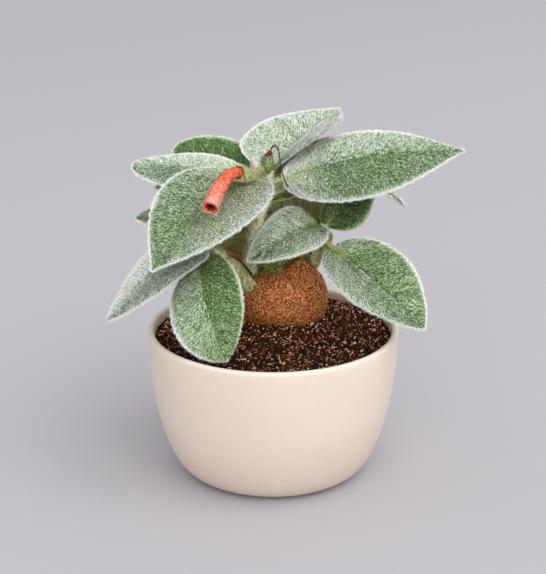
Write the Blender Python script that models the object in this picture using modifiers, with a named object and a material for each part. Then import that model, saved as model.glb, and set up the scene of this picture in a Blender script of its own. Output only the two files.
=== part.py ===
"""A woolly-leaved tuberous plant growing in a round ceramic pot.

Metres, +Z up. The origin is the centre of the pot's flat base, and -Y is the front.
The sizes below are in millimetres, and MM turns them into metres.
"""
import math

import bpy
import bmesh
import numpy as np
from mathutils import Vector, noise

MM = 0.001
GAP = 0.35                              # clearance kept between pieces that touch

# pot: the wall bulges out of a rounded foot and stands upright at the rim
POT_HEIGHT = 87.0
POT_RIM_RADIUS = 73.0
POT_BASE_RADIUS = 46.8
POT_SWELL = 1.8
POT_FOOT_ROUND = 6.0
POT_WALL = 4.2
POT_FLOOR = 6.0
POT_STEPS = 40
INNER_ROUND = 8.0
INNER_HEIGHTS = (6.0, 7.4, 10.0, 14.0, 26.0, 42.0, 58.0, 74.0, 84.9)

# soil: a little below the rim at the wall, banked up against the tuber
SOIL_EDGE = 81.0
SOIL_BANK = 7.5
SOIL_BANK_REACH = 20.0
SOIL_RELIEF = 0.9
SOIL_RINGS = 9

# tuber: a squat rough-barked lump, sunk in the soil by a third of its height
TUBER_CENTRE = (5.2, 18.0, 97.0)
TUBER_RADII = (26.8, 23.0, 20.2)
TUBER_SQUARENESS = 2.5
TUBER_SHOULDER = (16.0, 14.0)
TUBER_SHOULDER_RADII = (6.0, 9.5)       # towards -X and towards +X
TUBER_SHOULDER_RISE = 7.3
TUBER_BARK = 0.45
TUBER_SEGMENTS = 30
TUBER_RINGS = 18

# stems: foot, bend and top of the curve, then the radius at the foot and at the top
STEMS = {
    "stem_main": ((-14, 14, 108), (-11, 13, 142), (-2.5, 10, 176), 4.2, 2.6),
    "stem_left": ((-14, 5, 109.5), (-22, 4, 128), (-41, -6, 135.5), 3.9, 2.6),
    "stem_right": ((18, 27, 107), (26, 21, 124), (29.5, 7, 140), 4.2, 2.8),
}
STEM_TIP_LENGTH = 5.0                   # the stem's last stretch closes to a bud
STEM_POINTS = 16

# leaves: the stem and the share of it where the petiole leaves, the crest that the midrib bends over,
# the tip, blade width, the petiole's share, roll and twist about the midrib, fold and curl of the left
# and of the right half (degrees), the widest place, and how full the base and the tip are
LEAF_KEYS = ("stem", "at", "crest", "tip", "width", "petiole", "roll", "twist", "fold", "curl",
             "widest", "base", "point")
LEAVES = {
    "leaf_top_right": ("stem_main", 0.92, (42, -6, 194), (105, -10, 194), 46, 0.05, 46, -24,
                       (6, -12), (30, 31), 0.45, 0.54, 1.1),
    "leaf_top_front": ("stem_main", 0.89, (-17, -1, 193), (-64, -67, 144), 62, 0.06, 1, -20,
                       (15, 12), (26, 23), 0.33, 0.72, 1.15),
    "leaf_top_left": ("stem_main", 0.85, (-24, 20, 177), (-80, 17, 178), 40, 0.09, -22, 8,
                      (4, 3), (22, 25), 0.42, 0.56, 0.46),
    "leaf_top_back_left": ("stem_main", 0.89, (-15, 62, 170), (-59, 60, 175), 30, 0.24, -28, -6,
                           (10, 12), (20, 20), 0.55, 0.50, 0.50),
    "leaf_top_back": ("stem_main", 0.93, (-1, 20, 179), (39, 60, 201), 74, 0.08, -8, 19,
                      (10, 40), (16, 21), 0.30, 0.71, 1.20),
    "leaf_top_back_right": ("stem_main", 0.84, (22, 30, 184), (32, 50, 186), 32, 0.12, -8, 0,
                            (6, 10), (23, 20), 0.42, 0.55, 0.90),
    "leaf_right_front": ("stem_right", 0.92, (29, -2, 158), (-14, -10, 130), 36, 0.08, -26, 14,
                         (14, 20), (29, 24), 0.42, 0.67, 0.90),
    "leaf_right_low": ("stem_right", 0.86, (46, -15, 132), (84, -36, 99), 48, 0.07, 18, -4,
                       (25, 21), (24, 26), 0.46, 0.61, 0.86),
    "leaf_right_back": ("stem_right", 0.90, (31, 17, 146), (60, 20, 168), 40, 0.10, 14, -3,
                        (12, 8), (30, 30), 0.42, 0.60, 1.10),
    "leaf_right_far": ("stem_main", 0.78, (44, 58, 180), (80, 62, 140), 24, 0.14, 18, 0,
                       (13, 12), (29, 30), 0.42, 0.55, 0.90),
    "leaf_left_low": ("stem_left", 0.84, (-49, -40, 145), (-26, -54, 87), 44, 0.08, 17, 12,
                      (0, -5), (41, 36), 0.60, 0.50, 0.66),
    "leaf_left_out": ("stem_left", 0.93, (-50, -30, 151), (-93, -29, 101), 42, 0.08, -7, -4,
                      (15, 16), (28, 28), 0.42, 0.55, 0.90),
    "leaf_left_back": ("stem_left", 0.84, (-65, 19, 152), (-79, 19, 146), 27, 0.10, -8, -4,
                       (12, 11), (21, 21), 0.43, 0.55, 0.63),
    "leaf_left_up": ("stem_left", 0.96, (-52, 30, 170), (-69, 35, 160), 34, 0.12, -12, -4,
                     (11, 13), (21, 20), 0.42, 0.55, 0.90),
    "leaf_left_under": ("stem_left", 0.93, (-50, -10, 132), (-57, -14, 118), 12, 0.12, 60, 0,
                        (20, 20), (20, 20), 0.50, 0.50, 0.60),
    "leaf_mid_left": ("stem_main", 0.56, (-11, 42, 166), (-22, 50, 103), 50, 0.14, -6, 0,
                      (14, 14), (26, 26), 0.45, 0.55, 0.80),
    "leaf_mid_right": ("stem_main", 0.64, (13, 51, 173), (18, 61, 122), 46, 0.12, 8, 0,
                       (24, 24), (22, 22), 0.45, 0.55, 0.80),
    "leaf_right_behind": ("stem_right", 0.72, (18, 42, 140), (13, 58, 100), 36, 0.16, 6, 0,
                          (14, 14), (26, 26), 0.45, 0.55, 0.80),
}
PETIOLE_RADIUS = 1.5
BLADE_THICK = 1.5                       # at the midrib
BLADE_EDGE = 0.8                        # at the margin
BLADE_STATIONS = 13
BLADE_COLUMNS = 3                       # on each half of a blade

# flower: a curved tube with five small lobes, held in a toothed calyx on an arched stalk
FLOWER_PATH = ((-14.2, -18.1, 182.6), (-16.2, -20.4, 183.9), (-20.2, -25, 185.8), (-24.2, -31.5, 185.8),
               (-28.0, -39, 182.8), (-31.0, -46, 178.8), (-33.0, -52, 174.6))
FLOWER_RADII = (1.9, 2.4, 2.6, 3.2, 3.8, 4.1, 4.0)
FLOWER_WALL = 0.8
FLOWER_THROAT = 0.35                    # the throat reaches back by this share of the tube
LOBE_REACH = 2.2
CALYX_PATH = ((-4.4, 6.9, 175.0), (-6.9, -0.2, 180.8), (-9.2, -8, 181.2), (-11.2, -13.5, 181.2),
              (-13.2, -16.7, 181.7), (-15.6, -19.7, 183.4), (-17.8, -22.4, 184.7))
CALYX_RADII = (0.9, 0.9, 1.0, 1.8, 3.0, 3.6, 3.8)
CALYX_WALL = 0.7
CALYX_CUP = 0.36
CALYX_TEETH = 1.6

# fruit: a green capsule with its withered style bent over it
CAPSULE_PATH = ((-2.9, 7.6, 176.8), (-3.2, 6.2, 179.2), (-3.2, 5.0, 182.4), (-2.8, 4.4, 185.6),
                (-2.0, 4.0, 188.4), (-1.4, 4.0, 190.6))
CAPSULE_RADII = (1.0, 2.3, 3.3, 2.9, 1.7, 0.7)
STYLE_PATH = ((-1.2, 4.0, 191.2), (-0.2, 3.2, 192.8), (1.4, 2.0, 193.8), (2.8, 1.0, 191.8),
              (3.6, 0, 187.8), (4.4, -5, 184.1), (5.3, -10, 180.9), (6.4, -13, 178.3), (8.0, -16, 175.2))
STYLE_RADIUS = 0.4
BUD_PATH = ((-6.6, 7.0, 175.2), (-9.2, 3.6, 178.4), (-9.6, 2.6, 181), (-10.2, 2, 183.6), (-10.9, 1.6, 186))
BUD_RADII = (0.8, 1.9, 2.2, 1.6, 0.6)

# young shoots on the tuber's crown, and the dry stalk of an old flower
SHOOTS = {
    "shoot_left": ((-5, 11, 110), (-5.5, 10.5, 115), (-6, 10, 121), 3.4),
    "shoot_mid": ((2.6, 11, 111), (2.6, 10.5, 116), (2.4, 10, 121), 3.6),
    "shoot_back": ((-1.2, 19.5, 111), (-1.2, 19.5, 117), (-1, 19.5, 124), 3.8),
    "shoot_right": ((6.8, 18.5, 111), (7.2, 18, 117), (7.6, 17.5, 122.5), 3.2),
}
STALK_PATH = ((-12.2, 3.1, 116.8), (-14.6, 0, 121.6), (-17.6, -1.4, 125.6), (-21.4, -2.4, 129.2),
              (-25.4, -4, 132.4))
STALK_RADIUS = 0.7

# colours (linear RGB) with roughness
LOOKS = {
    "pot": ((0.80, 0.71, 0.62), 0.6),
    "soil": ((0.035, 0.018, 0.010), 0.95),
    "tuber": ((0.27, 0.10, 0.035), 0.9),
    "stem": ((0.34, 0.36, 0.18), 0.8),
    "leaf": ((0.33, 0.44, 0.30), 0.85),
    "flower": ((0.80, 0.10, 0.04), 0.7),
    "calyx": ((0.45, 0.50, 0.22), 0.8),
    "capsule": ((0.26, 0.34, 0.10), 0.7),
    "style": ((0.06, 0.02, 0.015), 0.7),
    "bud": ((0.74, 0.60, 0.52), 0.8),
    "shoot": ((0.12, 0.18, 0.03), 0.8),
    "stalk": ((0.28, 0.05, 0.02), 0.8),
}

for old in list(bpy.data.objects):
    bpy.data.objects.remove(old, do_unlink=True)
PARTS = bpy.data.collections.new("potted_sinningia")
CUTTERS = bpy.data.collections.new("cutters")
for group in (PARTS, CUTTERS):
    bpy.context.scene.collection.children.link(group)


def material(name, look):
    colour, rough = LOOKS[look]
    mat = bpy.data.materials.new(name)
    mat.use_nodes = True
    shader = mat.node_tree.nodes["Principled BSDF"]
    shader.inputs["Base Color"].default_value = (*colour, 1.0)
    shader.inputs["Roughness"].default_value = rough
    shader.inputs["Metallic"].default_value = 0.0
    mat.diffuse_color = (*colour, 1.0)
    return mat


def add_object(name, mesh, look=None):
    obj = bpy.data.objects.new(name, mesh)
    if look is None:
        CUTTERS.objects.link(obj)
        obj.hide_render = True
        obj.display_type = "WIRE"
    else:
        PARTS.objects.link(obj)
        obj.data.materials.append(material(name, look))
    return obj


def smooth_noise(x, y, z, size):
    """Smooth noise between -1 and 1 whose bumps are about size millimetres wide."""
    return noise.noise(Vector((x / size, y / size, z / size)))


def boolean(obj, cutter, operation="DIFFERENCE"):
    mod = obj.modifiers.new(cutter.name, "BOOLEAN")
    mod.operation = operation
    mod.solver = "EXACT"
    mod.object = cutter


def loft(name, rings, look=None, closed_tip=False):
    """One closed body through rings of equal point count, with the same diagonals all round."""
    bm = bmesh.new()
    loops = [[bm.verts.new(Vector(p) * MM) for p in ring] for ring in rings]
    count = len(loops[0])
    for low, high in zip(loops, loops[1:]):
        for j in range(count):
            k = (j + 1) % count
            flip = j >= count // 2
            quad = (low[j], high[j], high[k], low[k])
            a, b, c, d = quad if not flip else (quad[1], quad[2], quad[3], quad[0])
            bm.faces.new((a, b, c))
            bm.faces.new((a, c, d))
    bm.faces.new(loops[0])
    bm.faces.new(loops[-1][::-1])
    bmesh.ops.triangulate(bm, faces=[f for f in bm.faces if len(f.verts) > 4])
    bmesh.ops.recalc_face_normals(bm, faces=bm.faces)
    mesh = bpy.data.meshes.new(name)
    bm.to_mesh(mesh)
    bm.free()
    mesh.shade_smooth()
    mesh.set_sharp_from_angle(angle=math.radians(50))
    return add_object(name, mesh, look)


def bezier(start, bend, end, share):
    """Points and unit tangents of a quadratic curve at shares of its length."""
    start, bend, end = (np.array(p, float) for p in (start, bend, end))
    u = np.linspace(0, 1, 121)[:, None]
    points = (1 - u) ** 2 * start + 2 * u * (1 - u) * bend + u * u * end
    slopes = 2 * (1 - u) * (bend - start) + 2 * u * (end - bend)
    run = np.concatenate([[0], np.cumsum(np.linalg.norm(np.diff(points, axis=0), axis=1))])
    run /= run[-1]
    share = np.atleast_1d(share)
    centre = np.stack([np.interp(share, run, points[:, i]) for i in range(3)], 1)
    tangent = np.stack([np.interp(share, run, slopes[:, i]) for i in range(3)], 1)
    return centre, tangent / np.linalg.norm(tangent, axis=1)[:, None]


def smooth_path(points, count):
    """A smooth curve through the points, and the share of the points' index at each step."""
    points = np.array(points, float)
    last = len(points) - 1
    index = np.linspace(0, last, count)
    out = []
    for value in index:
        i = min(int(value), last - 1)
        t = value - i
        p0, p1, p2, p3 = (points[min(max(k, 0), last)] for k in (i - 1, i, i + 1, i + 2))
        out.append(0.5 * (2 * p1 + (p2 - p0) * t + (2 * p0 - 5 * p1 + 4 * p2 - p3) * t ** 2
                          + (3 * p1 - p0 - 3 * p2 + p3) * t ** 3))
    return np.array(out), index


def frames(centres):
    """Tangent and two normals at each point of a path, without sudden turns."""
    tangents = np.gradient(centres, axis=0)
    tangents /= np.linalg.norm(tangents, axis=1)[:, None]
    side = np.cross((0.3, 1.0, 0.2), tangents[0])
    sides = []
    for tangent in tangents:
        side = side - tangent * np.dot(side, tangent)
        side = side / np.linalg.norm(side)
        sides.append(side)
    sides = np.array(sides)
    return tangents, sides, np.cross(tangents, sides)


def circle(centre, side, up, radius, count, bumps=0.0, lobes=5):
    angles = np.arange(count) * math.tau / count
    reach = radius + bumps * np.cos(lobes * angles)
    return centre + reach[:, None] * (np.cos(angles)[:, None] * side + np.sin(angles)[:, None] * up)


def turned(name, profile, steps, look=None):
    """A closed half outline in X-Z, turned about Z; its outer side runs top to bottom."""
    mesh = bpy.data.meshes.new(name)
    points = [(x * MM, 0.0, z * MM) for x, z in profile]
    mesh.from_pydata(points, [(i, i + 1) for i in range(len(points) - 1)], [])
    obj = add_object(name, mesh, look)
    screw = obj.modifiers.new("Screw", "SCREW")
    screw.steps = steps
    screw.render_steps = steps
    screw.use_merge_vertices = True
    screw.merge_threshold = 0.00001
    screw.use_smooth_shade = True
    return obj


def pot_radius(z):
    """Outer radius of the pot's wall at a height."""
    share = min(max(z / POT_HEIGHT, 0.0), 1.0)
    radius = POT_BASE_RADIUS + (POT_RIM_RADIUS - POT_BASE_RADIUS) * math.sqrt(1 - (1 - share) ** POT_SWELL)
    if z < POT_FOOT_ROUND:
        turn = (POT_FOOT_ROUND - z) / POT_FOOT_ROUND
        radius -= 0.6 * POT_FOOT_ROUND * (1 - math.sqrt(1 - turn * turn))
    return radius


def inner_radius(z):
    """Radius of the pot's cavity, straight between the heights that its profile has."""
    radii = []
    for height in INNER_HEIGHTS:
        turn = max(POT_FLOOR + INNER_ROUND - height, 0.0) / INNER_ROUND
        radii.append(pot_radius(height) - POT_WALL - INNER_ROUND * (1 - math.sqrt(1 - turn * turn)))
    return float(np.interp(z, INNER_HEIGHTS, radii))


def make_pot():
    lip = POT_WALL / 2
    profile = [(0.0, POT_FLOOR)]
    profile += [(inner_radius(z), z) for z in INNER_HEIGHTS[:-1]]
    middle = POT_RIM_RADIUS - lip
    for angle in (180, 150, 115, 80, 45, 15):
        turn = math.radians(angle)
        profile.append((middle + lip * math.cos(turn), POT_HEIGHT - lip + lip * math.sin(turn)))
    profile += [(pot_radius(z), z) for z in (76.0, 64.0, 52.0, 40.0, 29.0, 20.0, 12.5, 7.0, 3.6, 1.4, 0.3)]
    profile += [(pot_radius(0.0) - 0.8, 0.0), (0.0, 0.0)]
    turned("pot", profile, POT_STEPS, "pot")


def soil_height(x, y):
    """Height of the soil's surface, banked against the tuber and crumbly."""
    reach = math.hypot((x - TUBER_CENTRE[0]) / TUBER_RADII[0], (y - TUBER_CENTRE[1]) / TUBER_RADII[1])
    away = max(reach - 0.8, 0.0) * TUBER_RADII[1]
    bank = SOIL_BANK * math.exp(-(away / SOIL_BANK_REACH) ** 2)
    crumbs = smooth_noise(x, y, 3.0, 7.0) + 0.6 * smooth_noise(x, y, 9.0, 3.5)
    return SOIL_EDGE + bank + SOIL_RELIEF * crumbs


def make_soil():
    """The soil's body: a lofted stack of rings whose top follows the surface."""
    rings = []
    angles = np.arange(POT_STEPS) * math.tau / POT_STEPS
    for z in INNER_HEIGHTS[:-1]:
        radius = inner_radius(z) - GAP
        rings.append([(radius * math.cos(a), radius * math.sin(a), z + GAP) for a in angles])
    edge = inner_radius(SOIL_EDGE - SOIL_RELIEF) - GAP
    for i in range(SOIL_RINGS):
        radius = edge * (1 - i / SOIL_RINGS) ** 0.9
        ring = []
        for a in angles:
            x, y = radius * math.cos(a), radius * math.sin(a)
            ring.append((x, y, soil_height(x, y)))
        rings.append(ring)
    soil = loft("soil", rings, "soil")
    hole = add_object("tuber_hole", tuber_mesh("tuber_hole", GAP))
    boolean(soil, hole)


def tuber_mesh(name, grow):
    """The tuber's skin, pushed out by grow."""
    bm = bmesh.new()
    bmesh.ops.create_uvsphere(bm, u_segments=TUBER_SEGMENTS, v_segments=TUBER_RINGS, radius=1.0)
    centre, radii, power = Vector(TUBER_CENTRE), Vector(TUBER_RADII), TUBER_SQUARENESS
    for vert in bm.verts:
        d = vert.co.normalized()
        size = (abs(d.x) ** power + abs(d.y) ** power + abs(d.z) ** power) ** (-1 / power)
        p = Vector((d.x * radii.x, d.y * radii.y, d.z * radii.z)) * size + centre
        reach = TUBER_SHOULDER_RADII[p.x > TUBER_SHOULDER[0]]
        away = math.hypot(p.x - TUBER_SHOULDER[0], p.y - TUBER_SHOULDER[1])
        shoulder = math.exp(-(away / reach) ** 2)
        if d.z > 0:
            p.z += TUBER_SHOULDER_RISE * shoulder * min(d.z * 1.6, 1.0)
        out = Vector((d.x / radii.x, d.y / radii.y, d.z / radii.z)).normalized()
        bark = smooth_noise(*p, 9.0) + 0.6 * smooth_noise(*p, 4.0)
        p += out * (1.3 * grow + TUBER_BARK * bark * 1.6)
        vert.co = p * MM
    mesh = bpy.data.meshes.new(name)
    bm.to_mesh(mesh)
    bm.free()
    mesh.shade_smooth()
    return mesh


def stem_radius(name, share):
    """A stem's radius at a share of its length; it closes to a blunt bud at the top."""
    foot, bend, top, low, high = STEMS[name]
    length = math.dist(foot, bend) + math.dist(bend, top)
    short = max(1 - (1 - share) * length / STEM_TIP_LENGTH, 0.0)
    return (low + (high - low) * share) * math.sqrt(max(1 - short ** 2, 0.06))


def stem_rings(name, grow):
    shares = np.sort(np.append(np.linspace(0, 1, STEM_POINTS), 0.98))
    centre, _ = bezier(*STEMS[name][:3], shares)
    tangent, side, up = frames(centre)
    rings = [circle(centre[i], side[i], up[i], stem_radius(name, share) + grow, 10)
             for i, share in enumerate(shares)]
    rings[0] = rings[0] - tangent[0] * grow
    return rings


def leaf_spec(name):
    return dict(zip(LEAF_KEYS, LEAVES[name]))


def leaf_root(spec):
    """Where the petiole starts: beside its stem, on the side that the leaf bends to."""
    axis, tangent = (found[0] for found in bezier(*STEMS[spec["stem"]][:3], spec["at"]))
    radius = stem_radius(spec["stem"], spec["at"])
    toward = np.array(spec["crest"], float) - axis
    toward /= np.linalg.norm(toward)
    lean = abs(float(np.dot(toward, tangent)))
    outward = toward - tangent * np.dot(toward, tangent)
    outward /= np.linalg.norm(outward)
    return axis + outward * (radius + GAP + PETIOLE_RADIUS * lean)


def half_width(t, spec):
    """Half the blade's width as a share of its greatest, at a share t of the blade."""
    low = np.clip(1 - (1 - np.clip(t / spec["widest"], 0, 1)) ** 2, 0, 1) ** spec["base"]
    beyond = np.clip((t - spec["widest"]) / (1 - spec["widest"]), 0, 1)
    high = np.clip(1 - beyond ** 2, 0, 1) ** spec["point"]
    return np.where(t < spec["widest"], low, high)


def blade_line(spec, shares):
    """Midrib points with the leaf's left and up directions at shares of the whole length."""
    root = leaf_root(spec)
    centre, tangent = bezier(root, spec["crest"], spec["tip"], shares)
    side = np.cross((0.0, 0.0, 1.0), tangent)
    side /= np.linalg.norm(side, axis=1)[:, None]
    up = np.cross(tangent, side)
    roll = np.radians(spec["roll"] + spec["twist"] * np.asarray(shares))[:, None]
    return centre, np.cos(roll) * side + np.sin(roll) * up, np.cos(roll) * up - np.sin(roll) * side


def cross_section(v, fold, curl):
    """Sideways and upward position, as shares of the half width, of a place v on a half blade."""
    start, bend = math.radians(fold), math.radians(curl)
    turn = start - bend * v
    return (math.sin(start) - math.sin(turn)) / bend, (math.cos(turn) - math.cos(start)) / bend


def leaf_rings(spec):
    petiole = spec["petiole"]
    stem_shares = petiole * np.array([0.0, 0.45, 0.85])
    t = (1 - np.cos(np.linspace(0.12, math.pi, BLADE_STATIONS))) / 2
    shares = np.concatenate([stem_shares, petiole + (1 - petiole) * t])
    centre, side, up = blade_line(spec, shares)
    columns = np.arange(BLADE_COLUMNS, -1, -1) / BLADE_COLUMNS
    across = [(0, v) for v in columns] + [(1, v) for v in columns[-2::-1]]
    count = len(across)
    rings = []
    for i, share in enumerate(shares):
        if share < petiole:
            angles = math.pi - (np.arange(2 * count) + 0.5) * math.pi / count
            rings.append(centre[i] + PETIOLE_RADIUS * (np.sin(angles)[:, None] * up[i]
                                                       - np.cos(angles)[:, None] * side[i]))
            continue
        place = (share - petiole) / (1 - petiole)
        wide = max(spec["width"] / 2 * float(half_width(np.array(place), spec)), 0.75)
        narrow = max(0.0, 1 - place / 0.35) ** 2
        middle = BLADE_THICK + (2 * PETIOLE_RADIUS - BLADE_THICK) * narrow
        middle -= (BLADE_THICK - BLADE_EDGE) * max(0.0, (place - 0.6) / 0.4)
        top, bottom = [], []
        for half, v in across:
            out, rise = cross_section(v, spec["fold"][half], spec["curl"][half])
            sign = 1 if half == 0 else -1
            point = centre[i] + wide * (sign * out * side[i] + rise * up[i])
            thick = BLADE_EDGE + (middle - BLADE_EDGE) * (1 - v) ** 2
            top.append(point + up[i] * thick * 0.35)
            bottom.append(point - up[i] * thick * 0.65)
        rings.append(np.array(top + bottom[::-1]))
    return rings


def trumpet(name, path, radii, look, wall=None, throat=0.0, lobes=0.0, flare=0.0, sides=15, count=12):
    """A round body along a path; with a wall it is open at its end, with five lobes there."""
    centre, index = smooth_path(path, count)
    tangent, side, up = frames(centre)
    radius = np.interp(index, range(len(radii)), radii)
    rings = [circle(centre[i], side[i], up[i], radius[i], sides) for i in range(count)]
    if wall is None:
        return loft(name, rings, look)
    end = centre[-1] + tangent[-1] * flare
    rings.append(circle(end, side[-1], up[-1], radius[-1] + lobes * 0.5, sides, lobes * 0.5))
    rings.append(circle(end + tangent[-1] * wall * 0.7, side[-1], up[-1],
                        radius[-1] + lobes * 0.4 - wall * 0.3, sides, lobes * 0.5))
    rings.append(circle(centre[-1], side[-1], up[-1], radius[-1] - wall, sides))
    for i in range(count - 2, -1, -1):
        if index[i] / index[-1] < 1 - throat:
            break
        rings.append(circle(centre[i], side[i], up[i], radius[i] - wall, sides))
    return loft(name, rings, look)


def wire(name, path, radius, look, count=14):
    """A thin round curve through the points."""
    curve = bpy.data.curves.new(name, "CURVE")
    curve.dimensions = "3D"
    curve.bevel_depth = radius * MM
    curve.bevel_resolution = 2
    curve.use_fill_caps = True
    spline = curve.splines.new("POLY")
    points, _ = smooth_path(path, count)
    spline.points.add(count - 1)
    for point, place in zip(spline.points, points):
        point.co = (*(place * MM), 1.0)
    spline.use_smooth = True
    return add_object(name, curve, look)


def shoot_rings(name, grow):
    """A short blunt shoot, wider above its foot."""
    foot, bend, top, radius = SHOOTS[name]
    shares = np.linspace(0, 1, 8)
    centre, _ = bezier(foot, bend, top, shares)
    tangent, side, up = frames(centre)
    rings = []
    for i, share in enumerate(shares):
        size = radius * (0.8 + 0.4 * share) * math.sqrt(max(1 - share ** 3, 0.03))
        rings.append(circle(centre[i], side[i], up[i], size + grow, 10, 0.1 * size, 5))
    rings[0] = rings[0] - tangent[0] * grow
    return rings


def grow_from_tuber(name, make_rings, look):
    """A stem or shoot, and the socket that its foot stands in."""
    loft(name, make_rings(name, 0.0), look)
    boolean(TUBER, loft(name + "_socket", make_rings(name, GAP)))


make_pot()
TUBER = add_object("tuber", tuber_mesh("tuber", 0.0), "tuber")
make_soil()
for stem in STEMS:
    grow_from_tuber(stem, stem_rings, "stem")
for shoot in SHOOTS:
    grow_from_tuber(shoot, shoot_rings, "shoot")
for leaf in LEAVES:
    loft(leaf, leaf_rings(leaf_spec(leaf)), "leaf")
trumpet("flower_tube", FLOWER_PATH, FLOWER_RADII, "flower", FLOWER_WALL, FLOWER_THROAT, LOBE_REACH, 1.2)
trumpet("flower_calyx", CALYX_PATH, CALYX_RADII, "calyx", CALYX_WALL, CALYX_CUP, CALYX_TEETH, 0.8, count=14)
trumpet("seed_capsule", CAPSULE_PATH, CAPSULE_RADII, "capsule", sides=10, count=10)
trumpet("young_bud", BUD_PATH, BUD_RADII, "bud", sides=10, count=9)
wire("withered_style", STYLE_PATH, STYLE_RADIUS, "style")
wire("withered_stalk", STALK_PATH, STALK_RADIUS, "stalk")
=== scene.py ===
import math

import bmesh
import bpy
import numpy as np
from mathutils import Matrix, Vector, noise


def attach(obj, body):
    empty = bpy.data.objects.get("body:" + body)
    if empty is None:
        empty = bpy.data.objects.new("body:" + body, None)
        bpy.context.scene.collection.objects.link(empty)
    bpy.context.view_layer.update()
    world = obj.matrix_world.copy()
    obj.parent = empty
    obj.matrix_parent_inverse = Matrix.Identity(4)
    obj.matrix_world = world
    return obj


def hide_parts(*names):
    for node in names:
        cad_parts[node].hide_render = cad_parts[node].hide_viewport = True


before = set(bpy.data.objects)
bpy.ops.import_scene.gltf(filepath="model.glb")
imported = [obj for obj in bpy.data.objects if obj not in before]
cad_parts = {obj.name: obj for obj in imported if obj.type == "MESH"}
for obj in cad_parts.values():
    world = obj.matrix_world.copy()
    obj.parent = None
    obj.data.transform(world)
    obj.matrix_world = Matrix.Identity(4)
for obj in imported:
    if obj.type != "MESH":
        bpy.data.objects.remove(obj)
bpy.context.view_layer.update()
mm = 0.001                              # every size below is in millimetres
gap = 0.35                              # the CAD leaves this much between pieces
mapName = "OFBake"                      # the map that holds where a point lies on its piece

# camera, floor and light

studio = {
    "lens": 100.0,
    "sensor": 36.0,
    "pitch": 19.8,                      # degrees down
    "distance": 918.0,
    "aim": (0.0, 0.0, 110.5),
    "floorSide": 16000.0,
    "floorSlant": -0.7,                 # painted shade: the floor is painted darker towards the back left, where the light falls off
    "floorFade": (-450.0, 1600.0),
    "floorTone": (0.462, 0.448, 0.472),
    "farShadeTone": (0.368, 0.357, 0.388),
    "horizonTone": (0.72, 0.71, 0.74),
    "skyTone": (0.97, 0.98, 1.0),
    "skyPower": 0.95,
}
wideLights = {                          # direction it comes from, strength, spread in degrees, colour
    "keyLight": ((0.64, -0.40, 1.0), 1.18, 55, (1.0, 0.985, 0.96)),
    "fillLight": ((0.05, -1.0, 0.34), 1.55, 75, (0.99, 0.99, 1.0)),
}


def buildCamera():
    lensData = bpy.data.cameras.new("camera")
    lensData.lens = studio["lens"]
    lensData.sensor_width = studio["sensor"]
    camera = bpy.data.objects.new("camera", lensData)
    bpy.context.scene.collection.objects.link(camera)
    pitch = math.radians(studio["pitch"])
    back = Vector((0, -math.cos(pitch), math.sin(pitch))) * studio["distance"]
    camera.location = (Vector(studio["aim"]) + back) * mm
    camera.rotation_euler = (math.radians(90) - pitch, 0, 0)
    bpy.context.scene.camera = camera


def buildLights():
    # wide, far lights, so that the floor is as bright in the distance as it is at the pot
    for name, (source, strength, spread, colour) in wideLights.items():
        lampData = bpy.data.lights.new(name, "SUN")
        lampData.energy = strength
        lampData.angle = math.radians(spread)
        lampData.color = colour
        lamp = bpy.data.objects.new(name, lampData)
        bpy.context.scene.collection.objects.link(lamp)
        lamp.rotation_euler = Vector(source).to_track_quat("Z", "Y").to_euler()


def buildSky():
    # bright overhead and as pale as the floor at the horizon
    world = bpy.data.worlds.new("studioSky")
    world.use_nodes = True
    bpy.context.scene.world = world
    tree = world.node_tree
    coordinate = addNode(tree, "ShaderNodeTexCoord")
    split = addNode(tree, "ShaderNodeSeparateXYZ", {"Vector": coordinate.outputs["Generated"]})
    tone = addRamp(tree, split.outputs["Z"], [(0.0, studio["horizonTone"]), (0.75, studio["skyTone"])])
    background = tree.nodes["Background"]
    background.inputs["Strength"].default_value = studio["skyPower"]
    tree.links.new(tone, background.inputs["Color"])


def buildFloor():
    half = studio["floorSide"] / 2 * mm
    mesh = bpy.data.meshes.new("floor")
    corners = [(-half, -half, 0), (half, -half, 0), (half, half, 0), (-half, half, 0)]
    mesh.from_pydata(corners, [], [(0, 1, 2, 3)])
    floor = bpy.data.objects.new("floor", mesh)
    bpy.context.scene.collection.objects.link(floor)
    finish, tree, shader = newFinish("floorPaper", 0.9, 0.1)
    places = objectPlaces(tree)
    split = addNode(tree, "ShaderNodeSeparateXYZ", {"Vector": places})
    x, y = split.outputs["X"], split.outputs["Y"]
    # painted shade: the floor's colour fades to a darker tone towards the back left, standing in for
    # light that falls off there
    farther = addMath(tree, "MULTIPLY_ADD", x, studio["floorSlant"], y)
    near, far = studio["floorFade"]
    away = addNode(tree, "ShaderNodeMapRange", {0: farther, 1: near, 2: far})
    shadedPaper = addRamp(tree, away.outputs[0], [(0.0, studio["floorTone"]), (1.0, studio["farShadeTone"])])
    paint(tree, shader, shadedPaper, noiseRamp(tree, places, 3.0, [(0.3, 0.985), (0.7, 1.0)], 2.0))
    mesh.materials.append(finish)


# small tools for shader nodes


def addNode(tree, kind, inputs=None, **settings):
    made = tree.nodes.new(kind)
    for key, value in settings.items():
        setattr(made, key, value)
    for key, value in (inputs or {}).items():
        if isinstance(value, bpy.types.NodeSocket):
            tree.links.new(value, made.inputs[key])
        else:
            made.inputs[key].default_value = value
    return made


def newFinish(name, roughness, gloss, sheen=0.0):
    finish = bpy.data.materials.new(name)
    finish.use_nodes = True
    tree = finish.node_tree
    shader = tree.nodes["Principled BSDF"]
    for key, value in (("Roughness", roughness), ("Specular IOR Level", gloss), ("Sheen Weight", sheen)):
        shader.inputs[key].default_value = value
    return finish, tree, shader


def objectPlaces(tree):
    # object coordinates, turned from metres into millimetres
    coordinate = addNode(tree, "ShaderNodeTexCoord")
    scaled = addNode(tree, "ShaderNodeVectorMath", {0: coordinate.outputs["Object"]}, operation="SCALE")
    scaled.inputs["Scale"].default_value = 1 / mm
    return scaled.outputs["Vector"]


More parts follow.
